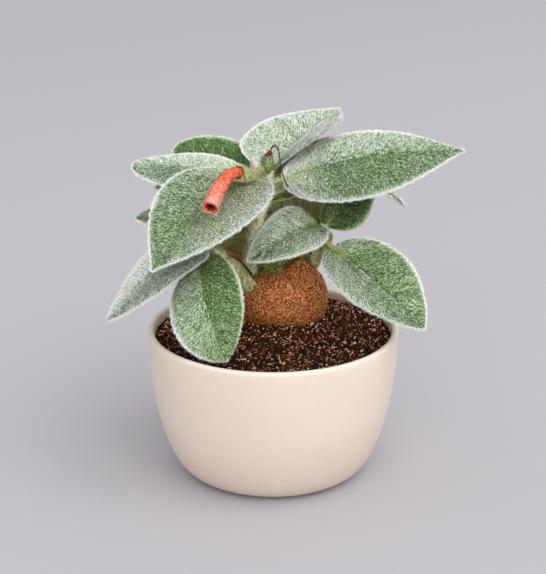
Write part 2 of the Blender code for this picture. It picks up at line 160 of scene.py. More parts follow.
def addNoise(tree, places, size, detail=3.0, roughness=0.55):
    made = addNode(tree, "ShaderNodeTexNoise", {"Vector": places, "Scale": 1 / size, "Detail": detail,
                                                "Roughness": roughness})
    return made.outputs["Fac"]


def addCells(tree, places, size):
    made = addNode(tree, "ShaderNodeTexVoronoi", {"Vector": places, "Scale": 1 / size})
    return made.outputs["Distance"]


def addRamp(tree, share, stops):
    # each stop is a place and a colour, or a place and a grey
    made = addNode(tree, "ShaderNodeValToRGB", {"Fac": share})
    elements = made.color_ramp.elements
    while len(elements) < len(stops):
        elements.new(1.0)
    for element, (place, colour) in zip(elements, stops):
        element.position = place
        element.color = (*colour, 1.0) if isinstance(colour, tuple) else (colour, colour, colour, 1.0)
    return made.outputs["Color"]


def noiseRamp(tree, places, size, stops, detail=3.0, roughness=0.55):
    return addRamp(tree, addNoise(tree, places, size, detail, roughness), stops)


def axisRamp(tree, places, axis, start, end, stops):
    # colours along one axis, between two places in millimetres
    split = addNode(tree, "ShaderNodeSeparateXYZ", {"Vector": places})
    share = addNode(tree, "ShaderNodeMapRange", {0: split.outputs[axis], 1: start, 2: end})
    return addRamp(tree, share.outputs[0], stops)


def addMath(tree, operation, *values):
    return addNode(tree, "ShaderNodeMath", dict(enumerate(values)), operation=operation).outputs[0]


def addMix(tree, share, first, second, blend="MIX"):
    made = tree.nodes.new("ShaderNodeMix")
    made.data_type = "RGBA"
    made.blend_type = blend
    for socket, value in ((made.inputs[0], share), (made.inputs[6], first), (made.inputs[7], second)):
        if isinstance(value, bpy.types.NodeSocket):
            tree.links.new(value, socket)
        elif isinstance(value, tuple):
            socket.default_value = (*value, 1.0)
        else:
            socket.default_value = value
    return made.outputs[2]


def shaded(tree, colour, *shades):
    # the colour, multiplied by each shade
    for shade in shades:
        colour = addMix(tree, 1.0, colour, shade, "MULTIPLY")
    return colour


def paint(tree, shader, colour, *shades):
    tree.links.new(shaded(tree, colour, *shades), shader.inputs["Base Color"])


def addBump(tree, shader, height, depth):
    # depth in millimetres
    made = addNode(tree, "ShaderNodeBump", {"Height": height, "Strength": 1.0, "Distance": depth * mm})
    tree.links.new(made.outputs["Normal"], shader.inputs["Normal"])


def mapPlace(tree):
    # the piece's own map, as two numbers
    place = addNode(tree, "ShaderNodeUVMap", uv_map=mapName)
    split = addNode(tree, "ShaderNodeSeparateXYZ", {"Vector": place.outputs["UV"]})
    return split.outputs["X"], split.outputs["Y"]


# small tools for meshes


def makePiece(name, points, faces, finish, nodes=()):
    mesh = bpy.data.meshes.new(name)
    mesh.from_pydata((np.asarray(points) * mm).tolist(), [], faces)
    mesh.shade_smooth()
    return placePiece(name, mesh, finish, nodes)


def placePiece(name, mesh, finish, nodes=()):
    mesh.materials.append(finish)
    piece = bpy.data.objects.new(name, mesh)
    bpy.context.scene.collection.objects.link(piece)
    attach(piece, "root")
    if nodes:
        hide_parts(*nodes)
    return piece


def makeLoft(name, rings, finish, nodes=()):
    # a closed piece through a stack of rings
    return makePiece(name, rings.reshape(-1, 3), loftFaces(*rings.shape[:2]), finish, nodes)


def layMap(mesh, places):
    # one place on the map for each vertex
    layer = mesh.uv_layers.new(name=mapName)
    corners = np.zeros(len(mesh.loops), np.int32)
    mesh.loops.foreach_get("vertex_index", corners)
    layer.uv.foreach_set("vector", places[corners].astype(np.float32).ravel())


def layTones(piece, tones):
    # one number for each vertex
    tones = np.ravel(tones)
    layMap(piece.data, np.stack([tones, np.full(len(tones), 0.5)], 1))


def unit(vectors):
    return vectors / np.maximum(np.linalg.norm(vectors, axis=-1, keepdims=True), 1e-9)


def turns(count):
    return np.arange(count) * math.tau / count


def ripple(points, size, seed):
    # smooth waves between about -1 and 1 whose crests are about size apart
    rng = np.random.default_rng(seed)
    total = 0.0
    for _ in range(6):
        direction = unit(rng.normal(size=3))
        step = size * rng.uniform(0.7, 1.5)
        total = total + np.sin(points @ direction * math.tau / step + rng.uniform(0, 9))
    return total / 3.2


def loftFaces(rows, columns, capped=True):
    # quads round a stack of rings, with a flat face on each end
    low = np.arange(rows - 1)[:, None] * columns + np.arange(columns)
    turn = np.roll(np.arange(columns), -1)
    side = np.arange(rows - 1)[:, None] * columns + turn
    faces = np.stack([low, side, side + columns, low + columns], -1).reshape(-1, 4).tolist()
    if capped:
        faces.append(list(range(columns))[::-1])
        faces.append([(rows - 1) * columns + i for i in range(columns)])
    return faces


def smoothPath(points, count):
    # a smooth curve through the points, and how far along their list each step is
    points = np.array(points, float)
    last = len(points) - 1
    index = np.linspace(0, last, count)
    i = np.minimum(index.astype(int), last - 1)
    t = (index - i)[:, None]
    p0, p1, p2, p3 = (points[np.clip(i + k, 0, last)] for k in (-1, 0, 1, 2))
    curve = 0.5 * (2 * p1 + (p2 - p0) * t + (2 * p0 - 5 * p1 + 4 * p2 - p3) * t ** 2
                   + (3 * p1 - p0 - 3 * p2 + p3) * t ** 3)
    return curve, index


def pathFrames(centres):
    tangents = unit(np.gradient(centres, axis=0))
    side = np.cross((0.3, 1.0, 0.2), tangents[0])
    sides = []
    for tangent in tangents:
        side = side - tangent * np.dot(side, tangent)
        side = side / np.linalg.norm(side)
        sides.append(side)
    sides = np.array(sides)
    return tangents, sides, np.cross(tangents, sides)


def ringsAlong(centres, radii, sides):
    # radii is one radius for each ring, or one for each point of each ring
    _, side, up = pathFrames(centres)
    angles = turns(sides)
    reach = np.broadcast_to(np.reshape(radii, (len(centres), -1)), (len(centres), sides))
    across = np.cos(angles)[:, None] * side[:, None] + np.sin(angles)[:, None] * up[:, None]
    return centres[:, None] + reach[..., None] * across


def quadraticCurve(start, bend, end, share):
    # points and unit tangents at shares of the curve's length
    start, bend, end = (np.array(p, float) for p in (start, bend, end))
    u = np.linspace(0, 1, 121)[:, None]
    points = (1 - u) ** 2 * start + 2 * u * (1 - u) * bend + u * u * end
    slopes = 2 * (1 - u) * (bend - start) + 2 * u * (end - bend)
    run = np.concatenate([[0], np.cumsum(np.linalg.norm(np.diff(points, axis=0), axis=1))])
    run /= run[-1]
    share = np.atleast_1d(share)
    centre = np.stack([np.interp(share, run, points[:, i]) for i in range(3)], 1)
    tangent = np.stack([np.interp(share, run, slopes[:, i]) for i in range(3)], 1)
    return centre, unit(tangent)


# hairs, each a slim blade of real mesh


def scatter(grid, perSquare, rng):
    # even but irregular places on a grid of points, as fractional rows and columns
    a, b, c, d = grid[:-1, :-1], grid[1:, :-1], grid[1:, 1:], grid[:-1, 1:]
    area = 0.5 * np.linalg.norm(np.cross(c - a, d - b), axis=2)
    count = int(area.sum() * perSquare)
    chance = np.cumsum(area.ravel())
    order = np.arange(count)
    aim = (order + rng.random(count)) / count * chance[-1]
    cell = np.minimum(np.searchsorted(chance, aim), len(chance) - 1)
    row, column = np.divmod(cell, area.shape[1])
    jitter = rng.normal(0, 0.05, (2, count))
    return row + (order * 0.7549 + jitter[0]) % 1, column + (order * 0.5698 + jitter[1]) % 1


def readGrid(grid, row, column):
    i = np.clip(row.astype(int), 0, grid.shape[0] - 2)
    j = np.clip(column.astype(int), 0, grid.shape[1] - 2)
    down = (row - i)[:, None]
    over = (column - j)[:, None]
    return ((1 - down) * (1 - over) * grid[i, j] + down * (1 - over) * grid[i + 1, j]
            + down * over * grid[i + 1, j + 1] + (1 - down) * over * grid[i, j + 1])


def makeHairs(name, hairs, finish):
    # hairs is a list of (roots, tips, radii, tones, facings), and each hair becomes one slim triangle
    # that lies more or less square to its facing
    roots, tips, radii, tones, facings = (np.concatenate([h[k] for h in hairs]) for k in range(5))
    count = len(roots)
    rng = np.random.default_rng(count)
    along = unit(tips - roots)
    flat = unit(np.cross(along, facings))
    tilt = rng.normal(0, 0.5, count)[:, None]
    side = (np.cos(tilt) * flat + np.sin(tilt) * np.cross(along, flat)) * radii[:, None]
    points = np.stack([roots - side, roots + side, tips], 1).reshape(-1, 3)
    mesh = bpy.data.meshes.new(name)
    mesh.vertices.add(len(points))
    mesh.vertices.foreach_set("co", (points * mm).astype(np.float32).ravel())
    mesh.loops.add(len(points))
    mesh.loops.foreach_set("vertex_index", np.arange(len(points), dtype=np.int32))
    mesh.polygons.add(count)
    mesh.polygons.foreach_set("loop_start", np.arange(0, len(points), 3, dtype=np.int32))
    mesh.update(calc_edges=True)
    # on the map: its tone, and how far up the hair each corner is
    layMap(mesh, np.stack([np.repeat(tones, 3), np.tile((0.04, 0.04, 0.96), count)], 1))
    # lit like the surface they grow on, with a little of each hair's own slope and more from above
    own = unit(np.cross(side, along))
    lit = unit(facings + 0.7 * own + (0.0, 0.0, 0.35))
    mesh.normals_split_custom_set_from_vertices(np.repeat(lit, 3, 0).tolist())
    return placePiece(name, mesh, finish)


hairTones = {                           # along the map: green, silver, white, and then olive to beige
    "stops": [(0.0, (0.045, 0.10, 0.018)), (0.18, (0.19, 0.37, 0.08)), (0.36, (0.50, 0.70, 0.32)),
              (0.56, (0.86, 0.95, 0.78)), (0.66, (0.98, 0.99, 0.98)), (0.72, (0.17, 0.18, 0.045)),
              (0.86, (0.64, 0.65, 0.24)), (1.0, (0.96, 0.86, 0.68))],
    "whitest": 0.66,
    "olive": 0.72,
    "rootShade": 0.42,                  # painted shade: how bright a hair is at its root, where the hairs shade each other
    "shadeEnd": 0.6,                    # and the share of its length over which it brightens
    "roughness": 0.65,
}
woolTones = {                           # the stems' and the calyx's wool: olive, yellow green, beige
    "stops": [(0.0, (0.10, 0.11, 0.015)), (0.3, (0.42, 0.46, 0.10)), (0.6, (0.82, 0.84, 0.40)),
              (1.0, (1.0, 0.98, 0.78))],
    "rootShade": 0.8,
    "shadeEnd": 0.6,
    "roughness": 0.65,
}
redTones = {                            # the corolla's: red, orange, pale
    "stops": [(0.0, (0.50, 0.025, 0.010)), (0.2, (0.95, 0.090, 0.030)), (0.5, (1.0, 0.28, 0.12)),
              (0.75, (1.0, 0.66, 0.48)), (1.0, (1.0, 0.92, 0.84))],
    "rootShade": 0.75,
    "shadeEnd": 0.8,
    "roughness": 0.6,
}


def silverTone(share):
    # 0 is leaf green and 1 is white
    return hairTones["whitest"] * np.clip(share, 0, 1)


def beigeTone(share):
    # 0 is olive and 1 is pale beige
    return hairTones["olive"] + (1 - hairTones["olive"]) * np.clip(share, 0, 1)


def hairFinish(name, tones):
    finish, tree, shader = newFinish(name, tones["roughness"], 0.25, 0.1)
    tone, reach = mapPlace(tree)
    # painted shade: each hair is painted darker towards its root, where the hairs shade each other
    depth = addRamp(tree, reach, [(0.0, tones["rootShade"]), (tones["shadeEnd"], 1.0)])
    paint(tree, shader, addRamp(tree, tone, tones["stops"]), depth)
    return finish


# leaves

stems = {                               # foot, bend, top, radius at the foot and at the top
    "stem_main": ((-14, 14, 108), (-11, 13, 142), (-2.5, 10, 176), 4.2, 2.6),
    "stem_left": ((-14, 5, 109.5), (-22, 4, 128), (-41, -6, 135.5), 3.9, 2.6),
    "stem_right": ((18, 27, 107), (26, 21, 124), (29.5, 7, 140), 4.2, 2.8),
}
leafKeys = ("stem", "at", "crest", "tip", "width", "petiole", "roll", "twist", "fold", "curl", "widest",
            "base", "point", "silverAndLight", "warm")
leafShapes = {                          # silver tones: the hairs' tone at the base, left, right and tip, partly their own silver and partly painted light, raised for the velvet's painted sheen and where a half lies in shade, lowered on leaves that lie in shade
    "top_right": ("stem_main", 0.92, (42, -6, 194), (105, -10, 194), 46, 0.05, 46, -24,
                  (6, -12), (30, 31), 0.45, 0.54, 1.1, (1.80, 0.80, 0.28, 0.28), 0.0),
    "top_front": ("stem_main", 0.89, (-17, -1, 193), (-64, -67, 144), 62, 0.06, 1, -20,
                  (15, 12), (26, 23), 0.33, 0.72, 1.15, (1.40, 1.40, 0.36, 0.28), 1.1),
    "top_left": ("stem_main", 0.85, (-24, 20, 177), (-80, 17, 178), 40, 0.09, -22, 8,
                 (4, 3), (22, 25), 0.42, 0.56, 0.46, (0.84, 0.76, 0.84, 0.74), 0.0),
    "top_back_left": ("stem_main", 0.89, (-15, 62, 170), (-59, 60, 175), 30, 0.24, -28, -6,
                      (10, 12), (20, 20), 0.55, 0.50, 0.50, (-0.10, -0.10, -0.10, 0.02), 0.0),
    "top_back": ("stem_main", 0.93, (-1, 20, 179), (39, 60, 201), 74, 0.08, -8, 19,
                 (10, 40), (16, 21), 0.30, 0.71, 1.20, (0.88, 0.76, 1.50, 0.95), 0.0),
    "top_back_right": ("stem_main", 0.84, (22, 30, 184), (32, 50, 186), 32, 0.12, -8, 0,
                       (6, 10), (23, 20), 0.42, 0.55, 0.90, (0.25, 0.25, 0.25, 0.28), 0.0),
    "right_front": ("stem_right", 0.92, (29, -2, 158), (-14, -10, 130), 36, 0.08, -26, 14,
                    (14, 20), (29, 24), 0.42, 0.67, 0.90, (0.74, 0.88, 0.84, 0.68), 0.35),
    "right_low": ("stem_right", 0.86, (46, -15, 132), (84, -36, 99), 48, 0.07, 18, -4,
                  (25, 21), (24, 26), 0.46, 0.61, 0.86, (0.84, 0.18, 1.06, 0.34), 0.0),
    "right_back": ("stem_right", 0.90, (31, 17, 146), (60, 20, 168), 40, 0.10, 14, -3,
                   (12, 8), (30, 30), 0.42, 0.60, 1.10, (0.0, 0.0, 0.02, 0.0), 0.5),
    "right_far": ("stem_main", 0.78, (44, 58, 180), (80, 62, 140), 24, 0.14, 18, 0,
                  (13, 12), (29, 30), 0.42, 0.55, 0.90, (0.55, 0.60, 0.60, 0.60), 0.0),
    "left_low": ("stem_left", 0.84, (-49, -40, 145), (-26, -54, 87), 44, 0.08, 17, 12,
                 (0, -5), (41, 36), 0.60, 0.50, 0.66, (0.54, -0.05, 0.70, 0.36), 0.6),
    "left_out": ("stem_left", 0.93, (-50, -30, 151), (-93, -29, 101), 42, 0.08, -7, -4,
                 (15, 16), (28, 28), 0.42, 0.55, 0.90, (1.5, 1.5, 1.5, 1.3), 0.25),
    "left_back": ("stem_left", 0.84, (-65, 19, 152), (-79, 19, 146), 27, 0.10, -8, -4,
                  (11, 12), (21, 21), 0.43, 0.55, 0.63, (0.48, 0.50, 0.50, 0.50), 0.0),
    "left_up": ("stem_left", 0.96, (-52, 30, 170), (-69, 35, 160), 34, 0.12, -12, -4,
                (11, 13), (21, 20), 0.42, 0.55, 0.90, (0.48, 0.50, 0.50, 0.50), 0.0),
    "left_under": ("stem_left", 0.93, (-50, -10, 132), (-57, -14, 118), 12, 0.12, 60, 0,
                   (20, 20), (20, 20), 0.50, 0.50, 0.60, (0.3, 0.3, 0.3, 0.3), 0.0),
    "mid_left": ("stem_main", 0.56, (-11, 42, 166), (-22, 50, 103), 50, 0.14, -6, 0,
                 (14, 14), (26, 26), 0.45, 0.55, 0.80, (0.36, 0.36, 0.36, 0.36), 0.0),
    "mid_right": ("stem_main", 0.64, (13, 51, 173), (18, 61, 122), 46, 0.12, 8, 0,
                  (24, 24), (22, 22), 0.45, 0.55, 0.80, (0.30, 0.30, 0.30, 0.30), 0.0),
    "right_behind": ("stem_right", 0.72, (18, 42, 140), (13, 58, 100), 36, 0.16, 6, 0,
                     (14, 14), (26, 26), 0.45, 0.55, 0.80, (0.30, 0.30, 0.30, 0.30), 0.0),
}
hiddenLeaves = ("left_up", "left_under", "mid_left", "mid_right", "right_behind")
# these are in yellow wool
strawLeaves = ("top_back_right", "left_under", "mid_left", "mid_right", "right_behind")
blade = {
    "stations": 60,
    "columns": 11,                      # on each half
    "petioleRadius": 1.5,
    "petioleStations": 7,
    "petioleSunk": 2.6,                 # how deep the petiole's foot goes into the stem
    "thick": 1.5,
    "tipThick": 0.8,
    "edge": 0.5,
    "tipHalfWidth": 0.3,
    "veins": 7.0,                       # on each side
    "veinSlant": 0.17,                  # share of the blade that a side vein gains towards the tip
    "veinBend": 1.25,
    "veinDepth": 0.65,
    "quilting": 0.45,                   # how far the blade swells between the veins
    "midribDepth": 0.5,
    "wave": 0.7,                        # how far the margin waves up and down
    "teeth": 17,
    "toothReach": 0.016,
    "mapStart": 0.06,                   # where the blade lies on its map, along it and across each face
    "mapSpan": 0.92,
    "mapHalf": 0.23,
    "topSkin": [(0.38, (0.010, 0.026, 0.004)), (0.50, (0.06, 0.125, 0.028)),
                (0.62, (0.20, 0.32, 0.11))],
    "underSkin": [(0.38, (0.16, 0.17, 0.03)), (0.60, (0.55, 0.55, 0.20))],
    "foldColour": (0.30, 0.38, 0.08),   # in the fold at the base
    "veinColour": (0.36, 0.40, 0.20),
}


def stemRadius(name, share):
    foot, bend, top, low, high = stems[name]
    length = math.dist(foot, bend) + math.dist(bend, top)
    short = max(1 - (1 - share) * length / 5.0, 0.0)
    return (low + (high - low) * share) * math.sqrt(max(1 - short ** 2, 0.06))


def leafRoot(leaf):
    # the petiole's start beside its stem, and the way in to the stem's middle
    axis, tangent = (found[0] for found in quadraticCurve(*stems[leaf["stem"]][:3], leaf["at"]))
    toward = unit(np.array(leaf["crest"], float) - axis)
    lean = abs(float(np.dot(toward, tangent)))
    outward = unit(toward - tangent * np.dot(toward, tangent))
    reach = stemRadius(leaf["stem"], leaf["at"]) + gap + blade["petioleRadius"] * lean
    return axis + outward * reach, -outward


def halfWidth(t, leaf):
    low = np.clip(1 - (1 - np.clip(t / leaf["widest"], 0, 1)) ** 2, 0, 1) ** leaf["base"]
    beyond = np.clip((t - leaf["widest"]) / (1 - leaf["widest"]), 0, 1)
    high = np.clip(1 - beyond ** 2, 0, 1) ** leaf["point"]
    return np.where(t < leaf["widest"], low, high)


def leafLine(leaf, shares):
    root, inward = leafRoot(leaf)
    centre, tangent = quadraticCurve(root, leaf["crest"], leaf["tip"], shares)
    side = unit(np.cross((0.0, 0.0, 1.0), tangent))
    up = np.cross(tangent, side)
    roll = np.radians(leaf["roll"] + leaf["twist"] * shares)[:, None]
    sunk = np.clip(1 - shares / (0.6 * leaf["petiole"]), 0, 1)[:, None] ** 2
    centre = centre + inward * blade["petioleSunk"] * sunk
    return centre, np.cos(roll) * side + np.sin(roll) * up, np.cos(roll) * up - np.sin(roll) * side


def veinDistance(t, v):
    # from the nearest side vein, as a share of the space between two of them
    return np.abs((blade["veins"] * (t - blade["veinSlant"] * v ** blade["veinBend"]) + 0.5) % 1 - 0.5)


def leafSheets(leaf, seed):
    # top and bottom of the blade as grids of points, with the petiole's rings before them
    t = (1 - np.cos(np.linspace(0.12, math.pi, blade["stations"]))) / 2
    petioleShares = leaf["petiole"] * np.linspace(0, 0.9, blade["petioleStations"])
    shares = np.concatenate([petioleShares, leaf["petiole"] + (1 - leaf["petiole"]) * t])
    centre, side, up = leafLine(leaf, shares)
    w = np.linspace(1, -1, 2 * blade["columns"] + 1)
    v = np.abs(w)
    count = len(w)
    first = blade["petioleStations"]

    angles = math.pi - (np.arange(2 * count) + 0.5) * math.pi / count
    radius = blade["petioleRadius"] * (1 + 0.35 * np.linspace(1, 0, first) ** 3)
    petiole = centre[:first, None] + radius[:, None, None] * (
        np.sin(angles)[:, None] * up[:first, None] - np.cos(angles)[:, None] * side[:first, None])

    centre, side, up = centre[first:], side[first:], up[first:]
    start = np.radians(np.where(w > 0, leaf["fold"][0], leaf["fold"][1]))
    bend = np.radians(np.where(w > 0, leaf["curl"][0], leaf["curl"][1]))
    turn = start - bend * v
    out = np.sign(w) * (np.sin(start) - np.sin(turn)) / bend
    rise = (np.cos(turn) - np.cos(start)) / bend
    wide = np.maximum(leaf["width"] / 2 * halfWidth(t, leaf), blade["tipHalfWidth"])
    tooth = 1 + blade["toothReach"] * v ** 8 * np.sin(math.tau * blade["teeth"] * t)[:, None]
    scaled = (wide[:, None] * tooth)[..., None]
    sheet = centre[:, None] + scaled * (out[:, None] * side[:, None] + rise[:, None] * up[:, None])

    # relief: side veins and the midrib lie low on the top, and the blade swells between them
    fade = np.clip(wide / 8, 0, 1)[:, None] * (1 - v ** 6)
    groove = np.exp(-(veinDistance(t[:, None], v) / 0.12) ** 2) * (1 - 0.5 * v)
    midrib = np.exp(-(v * wide[:, None] / 1.3) ** 2)
    relief = fade * (blade["quilting"] * (1 - groove) - blade["veinDepth"] * groove)
    relief = relief * (1 - midrib) - blade["midribDepth"] * midrib * np.clip(wide / 6, 0, 1)[:, None]
    waves = ripple(np.stack([t * 90, t * 0 + seed, t * 0], 1), 42, seed)[:, None] * np.sign(w)
    waves = waves * blade["wave"] * v ** 3 * np.clip(wide / 10, 0, 1)[:, None]
    sheet = sheet + (relief + waves)[..., None] * up[:, None]

    # as thick as the petiole at its base, and thin at its tip
    base = np.clip(1 - t / 0.35, 0, 1) ** 2
    middle = blade["thick"] + (2 * blade["petioleRadius"] - blade["thick"]) * base
    middle = middle - (blade["thick"] - blade["tipThick"]) * np.clip((t - 0.6) / 0.4, 0, 1)
    thick = blade["edge"] + (middle[:, None] - blade["edge"]) * (1 - v) ** 2
    top = sheet + 0.35 * thick[..., None] * up[:, None]
    bottom = sheet - 0.65 * thick[..., None] * up[:, None]
    return petiole, top, bottom, t, w


def makeBlade(name, leaf, sheets, finish):
    petiole, top, bottom, t, w = sheets
    rings = np.concatenate([petiole, np.concatenate([top, bottom[:, ::-1]], 1)])
    piece = makeLoft("blade_" + name, rings, finish, ["leaf_" + name])
    stalkRun = np.linspace(0.0, 0.05, len(petiole))
    run = np.concatenate([stalkRun, blade["mapStart"] + blade["mapSpan"] * t])
    over = np.concatenate([0.25 + blade["mapHalf"] * w, 0.75 - blade["mapHalf"] * w])
    layMap(piece.data, np.stack(np.broadcast_arrays(over[None], run[:, None]), -1).reshape(-1, 2))


def bladeFinish():
    finish, tree, shader = newFinish("leafSkin", 0.7, 0.3)
    over, run = mapPlace(tree)
    under = addMath(tree, "GREATER_THAN", over, 0.5)
    face = addMath(tree, "FRACT", addMath(tree, "MULTIPLY", over, 2.0))
    fromMiddle = addMath(tree, "ABSOLUTE", addMath(tree, "SUBTRACT", face, 0.5))
    v = addMath(tree, "MULTIPLY", fromMiddle, 1 / (2 * blade["mapHalf"]))
    t = addMath(tree, "DIVIDE", addMath(tree, "SUBTRACT", run, blade["mapStart"]), blade["mapSpan"])
    # the side veins and the midrib, pale on the underside
    slant = addMath(tree, "MULTIPLY", addMath(tree, "POWER", v, blade["veinBend"]), blade["veinSlant"])
    phase = addMath(tree, "MULTIPLY", addMath(tree, "SUBTRACT", t, slant), blade["veins"])
    away = addMath(tree, "PINGPONG", addMath(tree, "ADD", phase, 20.0), 0.5)
    onMidrib = addMath(tree, "LESS_THAN", v, 0.03)
    onVein = addMath(tree, "LESS_THAN", away, 0.035)
    vein = addMath(tree, "MULTIPLY", addMath(tree, "MAXIMUM", onMidrib, onVein), under)
    places = objectPlaces(tree)
    grain = addNoise(tree, places, 0.9, 4.0, 0.7)
    nearBase = addRamp(tree, t, [(0.05, 1.0), (0.24, 0.0)])
    inFold = addMath(tree, "MULTIPLY", nearBase, addMath(tree, "LESS_THAN", v, 0.5))
    top = addMix(tree, inFold, addRamp(tree, grain, blade["topSkin"]), blade["foldColour"])
    skin = addMix(tree, under, top, addRamp(tree, grain, blade["underSkin"]))
    paint(tree, shader, addMix(tree, addMath(tree, "MULTIPLY", vein, 0.7), skin, blade["veinColour"]))
    addBump(tree, shader, addCells(tree, places, 0.7), 0.12)
    return finish


velvet = {
    "seed": 100,
    "topPerSquare": 5.8,                # hairs for each square millimetre
    "underPerSquare": 2.6,
    "fringePerMm": 30.0,
    "tipHairs": 60,
    "hiddenShare": 0.5,                 # leaves that hardly show have this share of the hairs
    "length": 1.9,
    "radius": 0.19,
    "lift": 22.0,                       # degrees off the surface, and how far that differs
    "liftSpread": 9.0,
    "fan": (22.0, 42.0),                # degrees off the leaf's length, and how many more at its margin
    "fanSpread": 16.0,
    "fanSwirl": 14.0,
    "lockSize": 0.6,                    # hairs this close lean together
    "lockPull": 0.15,
    "lockContrast": 0.10,               # how far the tone differs from lock to lock
    "hairContrast": 0.60,               # and from hair to hair
    "baseEnd": 0.35,                    # share of the leaf where its base's tone has given way
    "veinShade": 0.18,                   # painted shade: how much darker the hairs are painted along the sunken side veins
    "rimTone": 0.85,                    # how much paler the hairs are at the margin
    "rimWidth": 2.2,
    "fringeLength": 2.0,
    "fringeTone": 0.97,
    "petiole": {"perSquare": 6.0, "length": 2.2, "radius": 0.20, "tone": 0.85, "lift": 35,
                "contrast": 0.3, "streak": 0.3},
}


def leanTogether(tips, row, column, grid, rng):
    # the tips of neighbouring hairs are drawn to one place, so that they read as locks
    size = velvet["lockSize"]
    spanRow = np.linalg.norm(np.diff(grid, axis=0), axis=2).mean()
    spanColumn = np.linalg.norm(np.diff(grid, axis=1), axis=2).mean()
    stepRow, stepColumn = size * 1.3 / spanRow, size * 0.8 / spanColumn
    cellRow = np.floor(row / stepRow)
    cellColumn = np.floor(column / stepColumn + 0.5 * (cellRow % 2))
    cellRow = (cellRow - cellRow.min()).astype(int)
    cellColumn = (cellColumn - cellColumn.min()).astype(int)
    key = cellRow * 4099 + cellColumn
    _, group, count = np.unique(key, return_inverse=True, return_counts=True)
    centre = np.stack([np.bincount(group, tips[:, i]) for i in range(3)], 1) / count[:, None]
    # each lock's tone differs from its neighbours', without broader patches
    tones = rng.normal(0, velvet["lockContrast"], (cellRow.max() + 3, cellColumn.max() + 3))
    beside = ((0, 1), (0, -1), (1, 0), (-1, 0), (1, 1), (-1, -1))
    around = sum(np.roll(tones, step, (0, 1)) for step in beside)
    tones = 1.1 * (tones - around / len(beside))
    return tips + velvet["lockPull"] * (centre[group] - tips), tones[cellRow, cellColumn]


def velvetTones(root, t, place, lockTone, leaf, rng, facing, seed):
    # silver, partly painted sheen and light, whiter at the rim, and greener along the side veins, where
    # shade is painted into their grooves
    v = np.abs(place)
    count = len(t)
    turn = velvet["baseEnd"]
    # painted light: the tones at the base, each half and the tip stand in part for the velvet's sheen and
    # for shade
    base, left, right, end = leaf["silverAndLight"]
    middle = np.where(place > 0, left, right)
    beyond = middle + (end - middle) * (t - turn) / (1 - turn)
    body = np.where(t < turn, base + (middle - base) * t / turn, beyond)
    wide = leaf["width"] / 2 * halfWidth(t, leaf)
    rim = velvet["rimTone"] * np.exp(-((1 - v) * wide / velvet["rimWidth"]) ** 2)
    # painted shade in the grooves of the side veins
    crease = np.exp(-(veinDistance(t, v) / 0.11) ** 2) * (1 - 0.5 * v)
    tone = body + rim + lockTone - velvet["veinShade"] * crease
    tone = tone + rng.normal(0, velvet["hairContrast"] * min(0.7 + left, 1.0), count) * (1 - rim)
    tone = silverTone(tone + 0.05 * ripple(root, 14, seed + 1))
    # beige along the midrib, in a patch beside it near the base, and underneath
    ridge = np.exp(-(place * wide / 0.9) ** 2) * np.clip(1.2 - 2 * t, 0, 1)
    patch = leaf["warm"] ** 3 * np.exp(-(t / 0.42) ** 2 - ((place - 0.3) / 0.42) ** 2)
    warm = np.maximum(patch, 1.4 * leaf["warm"] * ridge)
    warmTone = beigeTone(rng.uniform(0.7, 1.0, count))
    if leaf["straw"]:
        warm = np.ones(count)
        warmTone = np.clip(0.38 + 0.28 * ripple(root, 8, seed + 2) + rng.normal(0, 0.36, count), 0, 1)
    elif facing < 0:
        warm = np.full(count, 0.9)
        warmTone = beigeTone(rng.uniform(0.0, 1.0, count))
    return np.where(rng.random(count) < warm, warmTone, tone)


def surfaceHairs(grid, w, leaf, rng, perSquare, facing, seed):
    # hairs on one side of a blade; facing is 1 on the top and -1 underneath
    row, column = scatter(grid, perSquare, rng)
    root = readGrid(grid, row, column)
    along = unit(readGrid(np.gradient(grid, axis=0), row, column))
    across = unit(readGrid(np.gradient(grid, axis=1), row, column))
    normal = unit(np.cross(along, -across)) * facing
    place = np.interp(column, np.arange(len(w)), w)
    v = np.abs(place)
    t = row / (len(grid) - 1)
    middle, more = velvet["fan"]
    spread = rng.normal(0, velvet["fanSpread"], len(row))
    fan = np.radians(middle + more * v ** 0.6 + spread + velvet["fanSwirl"] * ripple(root, 9, seed))
    flow = np.cos(fan)[:, None] * along + (np.sin(fan) * -np.sign(place))[:, None] * across
    lift = np.radians(velvet["lift"] + rng.normal(0, velvet["liftSpread"], len(row)))
    length = velvet["length"] * rng.uniform(0.65, 1.25, len(row)) * (0.75 + 0.25 * np.clip(v * 3, 0, 1))
    way = np.cos(lift)[:, None] * flow + np.sin(lift)[:, None] * normal
    tip = root + way * length[:, None]
    tip, lockTone = leanTogether(tip, row, column, grid, rng)
    tone = velvetTones(root, t, place, lockTone, leaf, rng, facing, seed)
    radius = velvet["radius"] * rng.uniform(0.7, 1.25, len(row))
    # the fold at the base is nearly bare on top
    bare = min(leaf["warm"], 0.8) * np.exp(-(t / 0.17) ** 2 - (place / 0.3) ** 2) * (facing > 0)
    kept = rng.random(len(row)) > bare
    return tuple(values[kept] for values in (root - 0.15 * normal, tip, radius, tone, normal))


